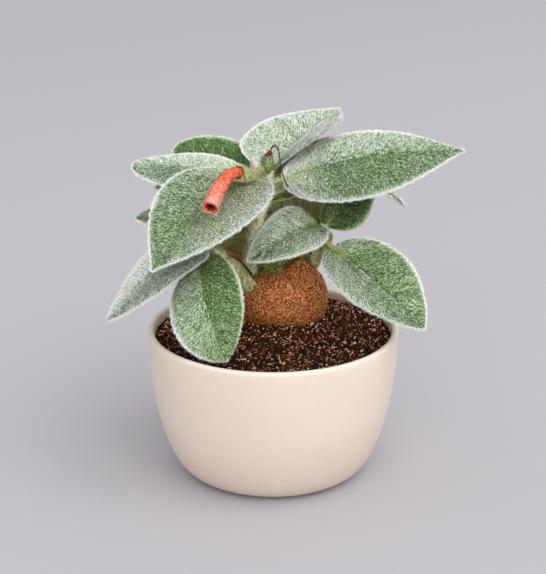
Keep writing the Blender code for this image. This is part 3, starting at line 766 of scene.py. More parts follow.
def fringeHairs(top, bottom, rng):
    # the pale rim: hairs that stand out from the margin
    hairs = []
    for edge in (0, -1):
        inner = 1 if edge == 0 else -2
        line = 0.5 * (top[:, edge] + bottom[:, edge])
        outward = unit(line - 0.5 * (top[:, inner] + bottom[:, inner]))
        along = unit(np.gradient(line, axis=0))
        normal = unit(np.cross(along, outward))
        run = np.concatenate([[0], np.cumsum(np.linalg.norm(np.diff(line, axis=0), axis=1))])
        count = int(run[-1] * velvet["fringePerMm"])
        place = np.sort(rng.random(count)) * run[-1]
        root, out, forward, up = (np.stack([np.interp(place, run, g[:, i]) for i in range(3)], 1)
                                  for g in (line, outward, along, normal))
        spread = np.radians(rng.normal(0, 30, count))[:, None]
        ahead = np.radians(rng.normal(34, 18, count))[:, None]
        way = np.cos(ahead) * (np.cos(spread) * out + np.sin(spread) * up) + np.sin(ahead) * forward
        length = velvet["fringeLength"] * (0.35 + 0.75 * rng.random(count) ** 1.5)
        tip = root + unit(way) * length[:, None]
        tone = silverTone(velvet["fringeTone"] + rng.normal(-0.03, 0.06, count))
        radius = velvet["radius"] * rng.uniform(0.5, 1.0, count)
        facing = unit(up + 0.8 * out + rng.normal(0, 0.4, (count, 3)))
        hairs.append((root - 0.5 * out, tip, radius, tone, facing))
    # and round its tip
    count = velvet["tipHairs"]
    end = 0.5 * (top[-1] + bottom[-1])
    ahead = unit(end.mean(0) - 0.5 * (top[-4] + bottom[-4]).mean(0))
    over = unit(top[-4, 0] - top[-4, -1])
    turn = np.radians(rng.normal(0, 42, count))[:, None]
    way = np.cos(turn) * ahead + np.sin(turn) * over + rng.normal(0, 0.2, (count, 3))
    root = end.mean(0) - 0.8 * ahead + rng.uniform(-0.9, 0.9, count)[:, None] * over
    tip = root + unit(way) * velvet["fringeLength"] * rng.uniform(0.8, 1.4, count)[:, None]
    tone = silverTone(np.full(count, velvet["fringeTone"]))
    facing = unit(np.cross(ahead, over) * 0.5 + ahead + rng.normal(0, 0.3, (count, 3)))
    hairs.append((root, tip, np.full(count, velvet["radius"]), tone, facing))
    return hairs


def tubeHairs(rings, rng, perSquare, length, radius, tone, lift, contrast, streak=0.0):
    # hairs all round a stack of rings, pointing along it; contrast is how far their tone differs from
    # hair to hair, and streak how far from patch to patch
    grid = np.concatenate([rings, rings[:, :1]], 1)
    row, column = scatter(grid, perSquare, rng)
    root = readGrid(grid, row, column)
    along = unit(readGrid(np.gradient(grid, axis=0), row, column))
    centre = np.repeat(rings.mean(1)[:, None], grid.shape[1], 1)
    outward = root - readGrid(centre, row, column)
    outward = unit(outward - along * np.sum(outward * along, 1)[:, None])
    count = len(row)
    rise = np.radians(lift + rng.normal(0, 18, count))[:, None]
    sway = rng.normal(0, 0.3, count)[:, None]
    way = unit(np.cos(rise) * along + np.sin(rise) * outward + sway * np.cross(along, outward))
    tip = root + way * (length * rng.uniform(0.6, 1.2, count))[:, None]
    patches = streak * ripple(root * (1.0, 1.0, 0.3), 2.6, count)
    tones = np.clip(tone + patches + rng.normal(0, contrast, count), 0, 1)
    return root - 0.1 * outward, tip, radius * rng.uniform(0.7, 1.2, count), tones, outward


def buildLeaves():
    skin = bladeFinish()
    total = 0
    for number, (name, values) in enumerate(leafShapes.items()):
        leaf = dict(zip(leafKeys, values))
        leaf["straw"] = name in strawLeaves
        seed = velvet["seed"] + number
        rng = np.random.default_rng(seed)
        sheets = leafSheets(leaf, seed)
        petiole, top, bottom, t, w = sheets
        makeBlade(name, leaf, sheets, skin)
        share = velvet["hiddenShare"] if name in hiddenLeaves else 1.0
        hairs = [surfaceHairs(top, w, leaf, rng, velvet["topPerSquare"] * share, 1, seed),
                 surfaceHairs(bottom, w, leaf, rng, velvet["underPerSquare"], -1, seed),
                 *fringeHairs(top, bottom, rng)]
        total += sum(len(h[0]) for h in hairs)
        makeHairs("velvet_" + name, hairs, yellowWool if leaf["straw"] else silverVelvet)
        wool = tubeHairs(petiole, rng, **velvet["petiole"])
        makeHairs("petiole_wool_" + name, [wool], yellowWool)
    print("leaves:", len(leafShapes), "with", total, "hairs")


# stems

stemLook = {
    "seed": 7,
    "sides": 28,
    "stations": 60,
    "sunk": 3.0,                        # how deep the foot goes into the tuber
    "angled": 0.05,                     # a faint four sided section that turns along the stem
    "ridge": 0.22,                      # how uneven the surface is
    "hairs": {"perSquare": 4.0, "length": 2.6, "radius": 0.24, "lift": 28, "contrast": 0.45,
              "streak": 0.4},
    "tones": {"stem_main": 1.05, "stem_left": 0.62, "stem_right": 0.95},
    "skin": [(0.36, (0.12, 0.14, 0.02)), (0.48, (0.44, 0.50, 0.11)), (0.62, (0.85, 0.82, 0.40))],
}


def stemFinish():
    finish, tree, shader = newFinish("stemSkin", 0.7, 0.3)
    places = objectPlaces(tree)
    drawnOut = addNode(tree, "ShaderNodeMapping", {"Vector": places, "Scale": (1.0, 1.0, 0.2)})
    streaks = drawnOut.outputs["Vector"]
    paint(tree, shader, noiseRamp(tree, streaks, 1.8, stemLook["skin"], 4.0))
    addBump(tree, shader, addNoise(tree, streaks, 0.6), 0.2)
    return finish


def buildStems():
    skin = stemFinish()
    for name, (foot, bend, top, _, _) in stems.items():
        rng = np.random.default_rng(len(name) * stemLook["seed"])
        shares = np.sort(np.append(np.linspace(0, 1, stemLook["stations"]), [0.985, 0.995]))
        centre, tangent = quadraticCurve(foot, bend, top, shares)
        centre = np.concatenate([[centre[0] - stemLook["sunk"] * tangent[0]], centre])
        radii = np.array([stemRadius(name, share) for share in [0, *shares]])
        twist = 3 * np.linspace(0, 1, len(centre))[:, None]
        section = 1 + stemLook["angled"] * np.cos(4 * turns(stemLook["sides"]) + twist)
        rings = ringsAlong(centre, radii[:, None] * section, stemLook["sides"])
        ridges = stemLook["ridge"] * ripple(rings, 6, 5)[..., None]
        rings = rings + ridges * unit(rings - centre[:, None])
        makeLoft(name.replace("stem", "shoot_axis"), rings, skin, [name])
        hairs = tubeHairs(rings, rng, tone=stemLook["tones"][name], **stemLook["hairs"])
        makeHairs(name.replace("stem", "down"), [hairs], yellowWool)
    print("stems:", len(stems))


# pot

pot = {
    "height": 87.0,
    "rimRadius": 73.0,
    "baseRadius": 46.8,
    "swell": 1.8,                       # how full its side is
    "footRound": 6.0,
    "wall": 4.2,
    "floor": 6.0,
    "innerRound": 8.0,                  # the rounding between floor and side, inside
    "innerHeights": (6.0, 7.4, 10.0, 14.0, 26.0, 42.0, 58.0, 74.0, 84.9),       # straight between these
    "lipStep": 12,                      # degrees
    "steps": 144,
    "glaze": (0.76, 0.665, 0.565),
    "glazeRoughness": (0.42, 0.55),
}


def potRadius(z):
    z = np.asarray(z, float)
    share = np.clip(z / pot["height"], 0, 1)
    flare = np.sqrt(1 - (1 - share) ** pot["swell"])
    radius = pot["baseRadius"] + (pot["rimRadius"] - pot["baseRadius"]) * flare
    turn = np.clip((pot["footRound"] - z) / pot["footRound"], 0, 1)
    return radius - 0.6 * pot["footRound"] * (1 - np.sqrt(1 - turn ** 2))


def innerRadius(z):
    heights = np.array(pot["innerHeights"])
    turn = np.clip(pot["floor"] + pot["innerRound"] - heights, 0, None) / pot["innerRound"]
    radii = potRadius(heights) - pot["wall"] - pot["innerRound"] * (1 - np.sqrt(1 - turn ** 2))
    return np.interp(z, heights, radii)


def potFinish():
    finish, tree, shader = newFinish("paleStoneware", 0.5, 0.35)
    places = objectPlaces(tree)
    r, g, b = pot["glaze"]
    cloud = noiseRamp(tree, places, 26.0, [(0.3, (r * 0.97, g * 0.96, b * 0.95)), (0.7, (r, g, b))])
    fleck = noiseRamp(tree, places, 0.9, [(0.28, (0.90, 0.88, 0.86)), (0.40, 1.0)], 2.0)
    # painted shade: the glaze is painted darker towards the foot, where less light reaches
    foot = axisRamp(tree, places, "Z", 0.0, pot["height"], [(0.05, (0.92, 0.885, 0.87)), (0.55, 1.0)])
    paint(tree, shader, cloud, fleck, foot)
    smooth, dull = pot["glazeRoughness"]
    tree.links.new(noiseRamp(tree, places, 7.0, [(0.3, smooth), (0.7, dull)]), shader.inputs["Roughness"])
    addBump(tree, shader, addNoise(tree, places, 1.4, 4.0), 0.05)
    return finish


def buildPot():
    # its outline, from the middle of the floor inside to the middle underneath
    lip = pot["wall"] / 2
    inside = np.concatenate([np.linspace(pot["floor"], 14, 9), np.linspace(18, 82, 14)])
    turn = np.radians(np.arange(180, -1, -pot["lipStep"]))
    rounded = pot["footRound"] * (1 - np.sin(np.linspace(0.12, math.pi / 2, 9)))
    outside = np.concatenate([np.linspace(80, 8, 30), rounded])
    profile = [(0.0, pot["floor"]), *zip(innerRadius(inside), inside)]
    profile += zip(pot["rimRadius"] - lip + lip * np.cos(turn), pot["height"] - lip + lip * np.sin(turn))
    profile += zip(potRadius(outside), outside)
    profile += [(float(potRadius(0.0)) - 0.8, 0.0), (0.0, 0.0)]
    profile = np.array(profile)
    angles = turns(pot["steps"])
    rings = np.stack([profile[:, :1] * np.cos(angles), profile[:, :1] * np.sin(angles),
                      np.repeat(profile[:, 1:], len(angles), 1)], -1)[1:-1]
    faces = [face[::-1] for face in loftFaces(*rings.shape[:2])]
    makePiece("turned_pot", rings.reshape(-1, 3), faces, potFinish(), ["pot"])
    print("pot turned")


# tuber

tuber = {
    "centre": (5.2, 18.0, 97.0),
    "radii": (26.8, 23.0, 20.2),
    "squareness": 2.5,                  # 2 is an ellipsoid, and more is boxier
    "shoulder": (16.0, 14.0),           # middle of the bump on its crown
    "shoulderRadii": (6.0, 9.5),        # towards -X and towards +X
    "shoulderRise": 7.3,
    "bark": 0.72,                       # height of its broad waves
    "segments": 220,
    "rings": 120,
    "grain": 1.1,                       # width of a bark grain
    "grainHeight": 0.9,
    "skin": [(0.42, (0.02, 0.005, 0.001)), (0.46, (0.36, 0.105, 0.024)), (0.54, (0.78, 0.230, 0.046)),
             (0.60, (0.94, 0.56, 0.24))],
    "speck": (0.95, 0.60, 0.30),
    "shadeHeights": (84.0, 97.0),        # painted shade: darker up to here, near the soil, and unshaded from here
}


def barkWaves(x, y, z, size):
    return noise.noise(Vector((x / size, y / size, z / size)))


def barkFinish():
    finish, tree, shader = newFinish("corkyBark", 0.9, 0.2)
    places = objectPlaces(tree)
    grain = noiseRamp(tree, places, 0.9, tuber["skin"], 4.0, 0.75)
    broad = noiseRamp(tree, places, 9.0, [(0.3, (0.84, 0.76, 0.70)), (0.7, 1.0)], 2.0)
    pit, _ = mapPlace(tree)
    # painted shade: the pits between the bark's grains are painted darker
    pitShade = addRamp(tree, pit, [(0.0, (0.16, 0.11, 0.09)), (0.5, 1.0)])
    speck = noiseRamp(tree, places, 0.7, [(0.65, 0.0), (0.69, 1.0)], 1.0)
    # painted shade: the bark is painted darker towards the soil
    shadeRamp = axisRamp(tree, places, "Z", *tuber["shadeHeights"], [(0.0, (0.55, 0.46, 0.40)), (1.0, 1.0)])
    paint(tree, shader, addMix(tree, speck, shaded(tree, grain, broad, pitShade), tuber["speck"]), shadeRamp)
    addBump(tree, shader, addNoise(tree, places, 0.5, 4.0), 0.25)
    return finish


def buildTuber():
    points, heights = [], []
    cx, cy, cz = tuber["centre"]
    rx, ry, rz = tuber["radii"]
    power = tuber["squareness"]
    for i in range(tuber["rings"] + 1):
        polar = math.pi * i / tuber["rings"]
        for j in range(tuber["segments"]):
            turn = math.tau * j / tuber["segments"]
            dx, dy = math.sin(polar) * math.cos(turn), math.sin(polar) * math.sin(turn)
            dz = math.cos(polar)
            size = (abs(dx) ** power + abs(dy) ** power + abs(dz) ** power) ** (-1 / power)
            x, y, z = cx + dx * rx * size, cy + dy * ry * size, cz + dz * rz * size
            if dz > 0:
                away = math.hypot(x - tuber["shoulder"][0], y - tuber["shoulder"][1])
                away /= tuber["shoulderRadii"][x > tuber["shoulder"][0]]
                z += tuber["shoulderRise"] * math.exp(-away ** 2) * min(dz * 1.6, 1.0)
            out = Vector((dx / rx, dy / ry, dz / rz)).normalized()
            coarse = tuber["bark"] * (barkWaves(x, y, z, 9.0) + 0.6 * barkWaves(x, y, z, 4.0))
            nearest = noise.voronoi(Vector((x, y, z)) / tuber["grain"])[0]
            grain = min(nearest[1] - nearest[0], 0.6) / 0.6
            height = 0.7 * grain + 0.3 * (0.5 + barkWaves(x, y, z, 0.8))
            lift = coarse + tuber["grainHeight"] * (height - 0.5)
            points.append((x + out.x * lift, y + out.y * lift, z + out.z * lift))
            heights.append(height)
    faces = [face[::-1] for face in loftFaces(tuber["rings"] + 1, tuber["segments"], capped=False)]
    piece = makePiece("bark_tuber", points, faces, barkFinish(), ["tuber"])
    layTones(piece, np.clip(heights, 0, 1))
    print("tuber:", len(points), "points")


# soil

soil = {
    "edge": 81.0,                       # its height at the pot
    "bank": 7.5,                        # how much higher it lies against the tuber
    "bankReach": 20.0,
    "relief": 0.9,
    "rings": 90,
    "segments": 200,
    "roughened": 0.16,                  # how far each point of the bed is off the smooth surface
    "crumbs": {                         # round, how many, smallest, largest, share of light bark, seed
        "crumbs_big": (True, 1000, 0.5, 1.3, 0.10, 41),
        "crumbs_small": (False, 7000, 0.3, 0.70, 0.30, 42),
    },
    "fibres": 420,
    "bedSeed": 31,
    "fibreSeed": 77,
    "skin": [(0.0, (0.004, 0.002, 0.001)), (0.38, (0.022, 0.007, 0.003)), (0.62, (0.080, 0.026, 0.010)),
             (0.8, (0.52, 0.170, 0.055)), (0.9, (1.0, 0.48, 0.20)), (1.0, (1.0, 0.84, 0.62))],
    "shadeBrightness": (0.62, 1.2),            # painted shade and light: brightness at the front, painted darker, and at the back, painted brighter
    "shadePlaces": (-65.0, 10.0),        # along Y
    "crumbLift": 0.35,                  # how high a crumb's middle lies, against its size
    "onTuber": 0.93,                    # nearer to the tuber's middle than this there are no crumbs
}


def tuberReach(x, y):
    # 1 on the tuber's widest outline
    cx, cy, _ = tuber["centre"]
    rx, ry, _ = tuber["radii"]
    return np.hypot((x - cx) / rx, (y - cy) / ry)


def soilHeight(x, y):
    away = np.clip(tuberReach(x, y) - 0.8, 0, None) * tuber["radii"][1]
    bank = soil["bank"] * np.exp(-(away / soil["bankReach"]) ** 2)
    places = np.stack([x, y, 0 * x], -1)
    waves = 0.7 * ripple(places, 8, 2) + 0.4 * ripple(places, 3, 3)
    return soil["edge"] + bank + soil["relief"] * waves


def soilPlaces(rng, count, margin):
    # places all over the soil, no nearer than the margin to the pot
    radius = (float(innerRadius(soil["edge"])) - margin) * np.sqrt(rng.random(count))
    turn = rng.random(count) * math.tau
    return radius * np.cos(turn), radius * np.sin(turn)


def soilFinish():
    finish, tree, shader = newFinish("peatCrumbs", 0.95, 0.15)
    places = objectPlaces(tree)
    tone, _ = mapPlace(tree)
    grain = noiseRamp(tree, places, 0.5, [(0.3, 0.6), (0.7, 1.25)])
    # painted shade and light: the soil is painted darker at the front and brighter at the back
    front, back = soil["shadeBrightness"]
    shadeRamp = axisRamp(tree, places, "Y", *soil["shadePlaces"], [(0.0, front), (1.0, back)])
    paint(tree, shader, addRamp(tree, tone, soil["skin"]), grain, shadeRamp)
    addBump(tree, shader, addNoise(tree, places, 0.4), 0.2)
    return finish


def buildSoilBed(finish):
    angles = turns(soil["segments"])
    circle = np.stack([np.cos(angles), np.sin(angles)], 1)
    rings = []
    for z in pot["innerHeights"][:-1]:
        rings.append(np.column_stack([circle * (innerRadius(z) - gap), np.full(len(angles), z + gap)]))
    edge = float(innerRadius(soil["edge"])) - gap
    for i in range(soil["rings"]):
        flat = circle * edge * (1 - i / soil["rings"]) ** 0.8
        rings.append(np.column_stack([flat, soilHeight(flat[:, 0], flat[:, 1])]))
    rings = np.array(rings)
    rng = np.random.default_rng(soil["bedSeed"])
    low = len(pot["innerHeights"]) - 1
    rings[low:, :, 2] += rng.normal(0, soil["roughened"], rings[low:, :, 2].shape)
    piece = makeLoft("soil_bed", rings, finish, ["soil"])
    layTones(piece, np.clip(rng.normal(0.34, 0.26, rings[..., 0].size), 0, 0.9))


def crumbForm(ballShaped):
    ball = bmesh.new()
    if ballShaped:
        bmesh.ops.create_icosphere(ball, subdivisions=1, radius=1.0)
    else:
        bmesh.ops.create_cube(ball, size=1.3)
        bmesh.ops.triangulate(ball, faces=ball.faces)
    corners = np.array([v.co for v in ball.verts])
    faces = np.array([[v.index for v in f.verts] for f in ball.faces])
    ball.free()
    return corners, faces


def crumbTones(rng, count, pale):
    # pale is the share of crumbs that are bits of light bark
    kind = rng.random(count)
    tone = np.clip(rng.normal(0.28, 0.24, count), 0.02, 0.78)
    tone = np.where(kind < pale, rng.uniform(0.78, 0.93, count), tone)
    return np.where(kind < 0.22 * pale, rng.uniform(0.92, 1.0, count), tone)


def buildCrumbs(name, finish, ballShaped, count, small, large, pale, seed):
    rng = np.random.default_rng(seed)
    corners, faces = crumbForm(ballShaped)
    x, y = soilPlaces(rng, count * 2, 1.2)
    keep = np.flatnonzero(tuberReach(x, y) > soil["onTuber"])[:count]
    x, y = x[keep], y[keep]
    count = len(x)
    size = small + (large - small) * rng.random(count) ** 2.6
    shape = corners[None] * (1 + rng.normal(0, 0.22, (count, len(corners), 1)))
    shape = shape * rng.uniform(0.6, 1.2, (count, 1, 3)) * size[:, None, None]
    # each is turned any way
    axis = unit(rng.normal(size=(count, 3)))
    angle = rng.uniform(0, math.pi, count)[:, None, None]
    cross = np.cross(axis[:, None], shape)
    dot = np.sum(axis[:, None] * shape, 2, keepdims=True) * axis[:, None]
    shape = shape * np.cos(angle) + cross * np.sin(angle) + dot * (1 - np.cos(angle))
    above = soil["crumbLift"] * size * rng.uniform(0, 1.6, count)
    centre = np.stack([x, y, soilHeight(x, y) + above], 1)
    points = (shape + centre[:, None]).reshape(-1, 3)
    allFaces = (np.arange(count)[:, None, None] * len(corners) + faces).reshape(-1, 3)
    piece = makePiece(name, points, allFaces.tolist(), finish)
    if not ballShaped:
        piece.data.shade_flat()
    layTones(piece, np.repeat(crumbTones(rng, count, pale), len(corners)))


def buildFibres(finish):
    rng = np.random.default_rng(soil["fibreSeed"])
    count = soil["fibres"]
    x, y = soilPlaces(rng, count, 4.0)
    root = np.stack([x, y, soilHeight(x, y) + 0.5], 1)
    way = [rng.normal(size=count), rng.normal(size=count), rng.uniform(0.0, 0.5, count)]
    tip = root + unit(np.stack(way, 1)) * rng.uniform(2.0, 6.0, count)[:, None]
    facing = np.tile((0.0, 0.0, 1.0), (count, 1))
    hairs = (root, tip, rng.uniform(0.14, 0.28, count), rng.uniform(0.78, 1.0, count), facing)
    makeHairs("soil_fibres", [hairs], finish)


def buildSoil():
    finish = soilFinish()
    buildSoilBed(finish)
    for name, values in soil["crumbs"].items():
        buildCrumbs(name, finish, *values)
    buildFibres(finish)
    print("soil with", len(soil["crumbs"]), "sizes of crumbs and", soil["fibres"], "fibres")


# flower, calyx, capsule and bud

flower = {
    "path": ((-14.2, -18.1, 182.6), (-16.2, -20.4, 183.9), (-20.2, -25, 185.8), (-24.2, -31.5, 185.8),
             (-28.0, -39, 182.8), (-31.0, -46, 178.8), (-33.0, -52, 174.6)),
    "radii": (1.9, 2.4, 2.6, 3.2, 3.8, 4.1, 4.0),
    "stations": 46,
    "sides": 60,
    "seed": 51,
    "wall": 2.1,
    "star": 0.55,                       # how much the wall thins under a lobe and thickens between lobes
    "throat": 0.6,                      # how deep the tube is open, as a share of its length
    "lobeReach": 1.7,
    "lobeSpread": 0.35,
    "skin": [(0.40, (0.34, 0.010, 0.004)), (0.48, (1.0, 0.090, 0.024)), (0.62, (1.0, 0.36, 0.15))],
    "throatShadeColour": (0.14, 0.008, 0.004),
    "hairs": {"perSquare": 4.2, "length": 1.0, "radius": 0.28, "tone": 0.34, "lift": 26,
              "contrast": 0.10},
    "hairContrast": 0.55,
    "paler": ((0.45, 1.8), (0.35, 8)),  # how much paler the hairs are at the mouth, and how late
    "tubeLength": 33.0,
    "mouthHairs": {"perSquare": 12.0, "length": 1.5, "radius": 0.20, "tone": 0.92, "lift": 50,
                   "contrast": 0.30},
    "paleHairs": {"length": 1.5, "radius": 0.20, "tone": 0.92, "lift": 22, "contrast": 0.12},
    "paleEnd": ((15, 2.0), (6, 3.0)),   # the last rings that have them, and how many a square millimetre
}
calyx = {
    "path": ((-4.4, 6.9, 175.0), (-6.9, -0.2, 180.8), (-9.2, -8, 181.2), (-11.2, -13.5, 181.2),
             (-13.2, -16.7, 181.7), (-15.6, -19.7, 183.4), (-17.8, -22.4, 184.7)),
    "radii": (0.9, 0.9, 1.0, 1.8, 3.0, 3.6, 3.8),
    "stations": 44,
    "sides": 50,
    "wall": 0.6,
    "star": 0.0,
    "throat": 0.3,
    "lobeReach": 3.2,
    "lobeSpread": 0.12,
    "skin": [(0.40, (0.08, 0.14, 0.015)), (0.5, (0.40, 0.52, 0.10)), (0.62, (0.86, 0.90, 0.50))],
    "wool": {"perSquare": 5.0, "length": 2.2, "radius": 0.22, "tone": 0.94, "lift": 28, "contrast": 0.4,
             "streak": 0.35},
}
capsule = {
    "path": ((-2.9, 7.6, 176.8), (-3.2, 6.2, 179.2), (-3.2, 5.0, 182.4), (-2.8, 4.4, 185.6),
             (-2.0, 4.0, 188.4), (-1.4, 4.0, 190.6)),
    "radii": (1.0, 2.3, 3.3, 2.9, 1.7, 0.7),
    "stations": 40,
    "sides": 28,
    "seed": 61,
    "flattened": 0.05,
    "beak": 187.0,                      # bare from this height
    "heights": (176.0, 192.0),          # from the colour of its foot to the beak's
    "skin": [(0.0, (0.52, 0.58, 0.20)), (0.35, (0.30, 0.42, 0.08)), (0.62, (0.11, 0.16, 0.03)),
             (0.76, (0.12, 0.012, 0.006))],
    "down": {"perSquare": 6.0, "length": 1.7, "radius": 0.16, "tone": 0.40, "lift": 40,
             "contrast": 0.28},
}
youngBud = {
    "path": ((-6.6, 7.0, 175.2), (-9.2, 3.6, 178.4), (-9.6, 2.6, 181), (-10.2, 2, 183.6),
             (-10.9, 1.6, 186)),
    "radii": (0.8, 1.9, 2.2, 1.6, 0.6),
    "stations": 32,
    "sides": 24,
    "skin": [(0.4, (0.90, 0.50, 0.40)), (0.6, (1.0, 0.78, 0.70))],
    "wool": {"perSquare": 7.0, "length": 2.4, "radius": 0.16, "tone": silverTone(0.98), "lift": 40,
             "contrast": 0.0},
}
style = {
    "path": ((-1.2, 4.0, 191.2), (-0.2, 3.2, 192.8), (1.4, 2.0, 193.8), (2.8, 1.0, 191.8),
             (3.6, 0, 187.8), (4.4, -5, 184.1), (5.3, -10, 180.9), (6.4, -13, 178.3), (8.0, -16, 175.2)),
    "radius": 0.4,
    "thickness": ((0, 0.3, 0.9, 1), (1.3, 1.0, 0.9, 1.6)),
    "stations": 70,
    "sides": 10,
    "skin": [(0.3, (0.030, 0.010, 0.006)), (0.7, (0.13, 0.04, 0.02))],
}


def bodyLine(spec):
    # the middle of each ring, and its radius
    centre, index = smoothPath(spec["path"], spec["stations"])
    return centre, np.interp(index, range(len(spec["radii"])), spec["radii"])


def threadRings(spec):
    # a dry thread or stalk, and how far along it each ring is
    centre, index = smoothPath(spec["path"], spec["stations"])
    run = index / index[-1]
    radii = spec["radius"] * np.interp(run, *spec["thickness"])
    return centre, run, ringsAlong(centre, radii, spec["sides"])


def lobedCup(spec):
    # outer rings of a tube, its five lobes, and the same again inside
    centre, radius = bodyLine(spec)
    tangent, side, up = pathFrames(centre)
    outer = ringsAlong(centre, radius, spec["sides"])
    angles = turns(spec["sides"])
    wedge = 1 - np.abs((5 * angles / math.tau) % 1 * 2 - 1)
    reach = spec["lobeReach"] * (0.12 + 0.88 * wedge ** 0.8)
    radial = np.cos(angles)[:, None] * side[-1] + np.sin(angles)[:, None] * up[-1]
    spread = spec["lobeSpread"]
    steps = (0.3, 0.6, 0.85, 1.0)
    limb = []
    for share in steps:
        forward = (share * (1 - 0.5 * spread * share) * reach)[:, None] * tangent[-1]
        limb.append(outer[-1] + forward + (spread * share ** 1.3 * reach)[:, None] * radial)
    limb = np.array(limb)
    wall = spec["wall"] * (1 + spec["star"] * (0.5 - wedge))
    inward = wall[:, None] * radial
    inner = [ring - inward * (0.35 + 0.5 * (1 - share)) - tangent[-1] * 0.1
             for ring, share in zip(limb[::-1], steps[::-1])]
    inside = ringsAlong(centre, radius[:, None] - wall, spec["sides"])[::-1]
    inside = inside[:int(spec["stations"] * spec["throat"])]
    return outer, limb, np.concatenate([outer, limb, np.array(inner), inside])


def fleshFinish(name, stops, size):
    # a plant surface whose colour runs through the stops by noise, with a fine grain
    finish, tree, shader = newFinish(name, 0.65, 0.3)
    places = objectPlaces(tree)
    paint(tree, shader, noiseRamp(tree, places, size, stops, 4.0))
    addBump(tree, shader, addNoise(tree, places, size * 0.4), 0.12)
    return finish


def petalFinish():
    # orange red outside, with dark pits, and painted shade of dark red down the throat
    finish, tree, shader = newFinish("orangePetal", 0.6, 0.3)
    places = objectPlaces(tree)
    skin = noiseRamp(tree, places, 0.9, flower["skin"], roughness=0.7)
    throat, _ = mapPlace(tree)
    paint(tree, shader, addMix(tree, throat, skin, flower["throatShadeColour"]))
    addBump(tree, shader, addNoise(tree, places, 0.6), 0.15)
    return finish


def buildFlower():
    rng = np.random.default_rng(flower["seed"])
    outer, limb, rings = lobedCup(flower)
    corolla = makeLoft("corolla", rings, petalFinish(), ["flower_tube"])
    # painted shade: the throat is painted dark red, darker further down the tube, and so are five arms on
    # the inside between the lobes
    step = np.arange(len(rings))[:, None] - len(outer)
    lobeShare = np.arange(flower["sides"]) * 5 / flower["sides"] % 1
    arms = np.abs(lobeShare * 2 - 1) ** 1.5 * (step >= len(limb))
    layTones(corolla, np.clip((step - 5) / 3 + arms, 0, 1))
    # its hairs grow paler towards the mouth
    root, tip, radius, tone, facing = tubeHairs(outer, rng, **flower["hairs"])
    foot, mouth = outer[0].mean(0), outer[-1].mean(0)
    along = np.clip((root - foot) @ unit(mouth - foot) / flower["tubeLength"], 0, 1)
    paler = sum(more * along ** power for more, power in flower["paler"])
    tone = np.clip(tone + paler + rng.normal(0, flower["hairContrast"], len(along)), 0, 1)
    hairs = [(root, tip, radius, tone, facing), tubeHairs(limb, rng, **flower["mouthHairs"])]
    for last, perSquare in flower["paleEnd"]:
        hairs.append(tubeHairs(outer[-last:], rng, perSquare, **flower["paleHairs"]))
    makeHairs("corolla_hairs", hairs, hairFinish("redVelvet", redTones))

    outer, limb, rings = lobedCup(calyx)
    green = fleshFinish("calyxSkin", calyx["skin"], 1.2)
    makeLoft("calyx_cup", rings, green, ["flower_calyx"])
    wool = tubeHairs(np.concatenate([outer, limb]), rng, **calyx["wool"])
    makeHairs("calyx_wool", [wool], yellowWool)
    print("flower and calyx")


def capsuleFinish():
    # pale green at the foot, dark green above, and a dark red beak
    finish, tree, shader = newFinish("capsuleSkin", 0.55, 0.35)
    places = objectPlaces(tree)
    body = axisRamp(tree, places, "Z", *capsule["heights"], capsule["skin"])
    paint(tree, shader, body, noiseRamp(tree, places, 1.2, [(0.3, 0.75), (0.7, 1.1)]))
    return finish


def buildCrown():
    rng = np.random.default_rng(capsule["seed"])
    sides = capsule["sides"]
    rings = ringsAlong(*bodyLine(capsule), sides)
    middle = rings.mean(1)[:, None]
    rings = middle + (rings - middle) * (1 + capsule["flattened"] * np.cos(2 * turns(sides)))[:, None]
    makeLoft("capsule_green", rings, capsuleFinish(), ["seed_capsule"])
    down = tubeHairs(rings, rng, **capsule["down"])
    low = down[0][:, 2] < capsule["beak"]
    makeHairs("capsule_down", [tuple(values[low] for values in down)], silverVelvet)

    rings = ringsAlong(*bodyLine(youngBud), youngBud["sides"])
    pink = fleshFinish("budSkin", youngBud["skin"], 1.2)
    makeLoft("woolly_bud", rings, pink, ["young_bud"])
    makeHairs("bud_wool", [tubeHairs(rings, rng, **youngBud["wool"])], silverVelvet)

    _, _, rings = threadRings(style)
    brown = fleshFinish("dryStyle", style["skin"], 2.0)
    makeLoft("dry_style", rings, brown, ["withered_style"])
    print("capsule, bud and style")


# young shoots on the tuber

shoots = {
    "shoot_left": ((-5, 11, 110), (-5.5, 10.5, 115), (-6, 10, 121), 3.4),
    "shoot_mid": ((2.6, 11, 111), (2.6, 10.5, 116), (2.4, 10, 121), 3.6),
    "shoot_back": ((-1.2, 19.5, 111), (-1.2, 19.5, 117), (-1, 19.5, 124), 3.8),
    "shoot_right": ((6.8, 18.5, 111), (7.2, 18, 117), (7.6, 17.5, 122.5), 3.2),
}
shootLook = {
    "seed": 70,
    "stations": 16,
    "sides": 16,
    "scales": 12,
    "scaleStations": 14,
    "scaleSides": 12,
    "scaleLength": 8.5,
    "scaleWidth": 4.6,
    "turn": 2.4,                        # from each scale leaf to the next
    "hairs": {"perSquare": 4.0, "length": 1.5, "radius": 0.13, "lift": 35, "contrast": 0.22},
    "tone": 0.18,
    "woolly": "shoot_right",            # its axis is in pale wool
    "woolTone": 0.8,
    "skin": [(0.42, (0.01, 0.02, 0.003)), (0.5, (0.15, 0.22, 0.025)), (0.60, (0.52, 0.58, 0.12))],
}
stalk = {
    "path": ((-12.2, 3.1, 116.8), (-14.6, 0, 121.6), (-17.6, -1.4, 125.6), (-21.4, -2.4, 129.2),
             (-25.4, -4, 132.4)),
    "radius": 0.7,
    "thickness": ((0, 0.5, 0.7, 0.9, 1), (0.8, 0.6, 0.9, 1.5, 0.6)),
    "stations": 40,
    "sides": 14,
    "knobs": 0.12,
    "skin": [(0.6, (0.040, 0.012, 0.006)), (0.8, (0.26, 0.035, 0.018)), (1.0, (0.62, 0.12, 0.06))],
}


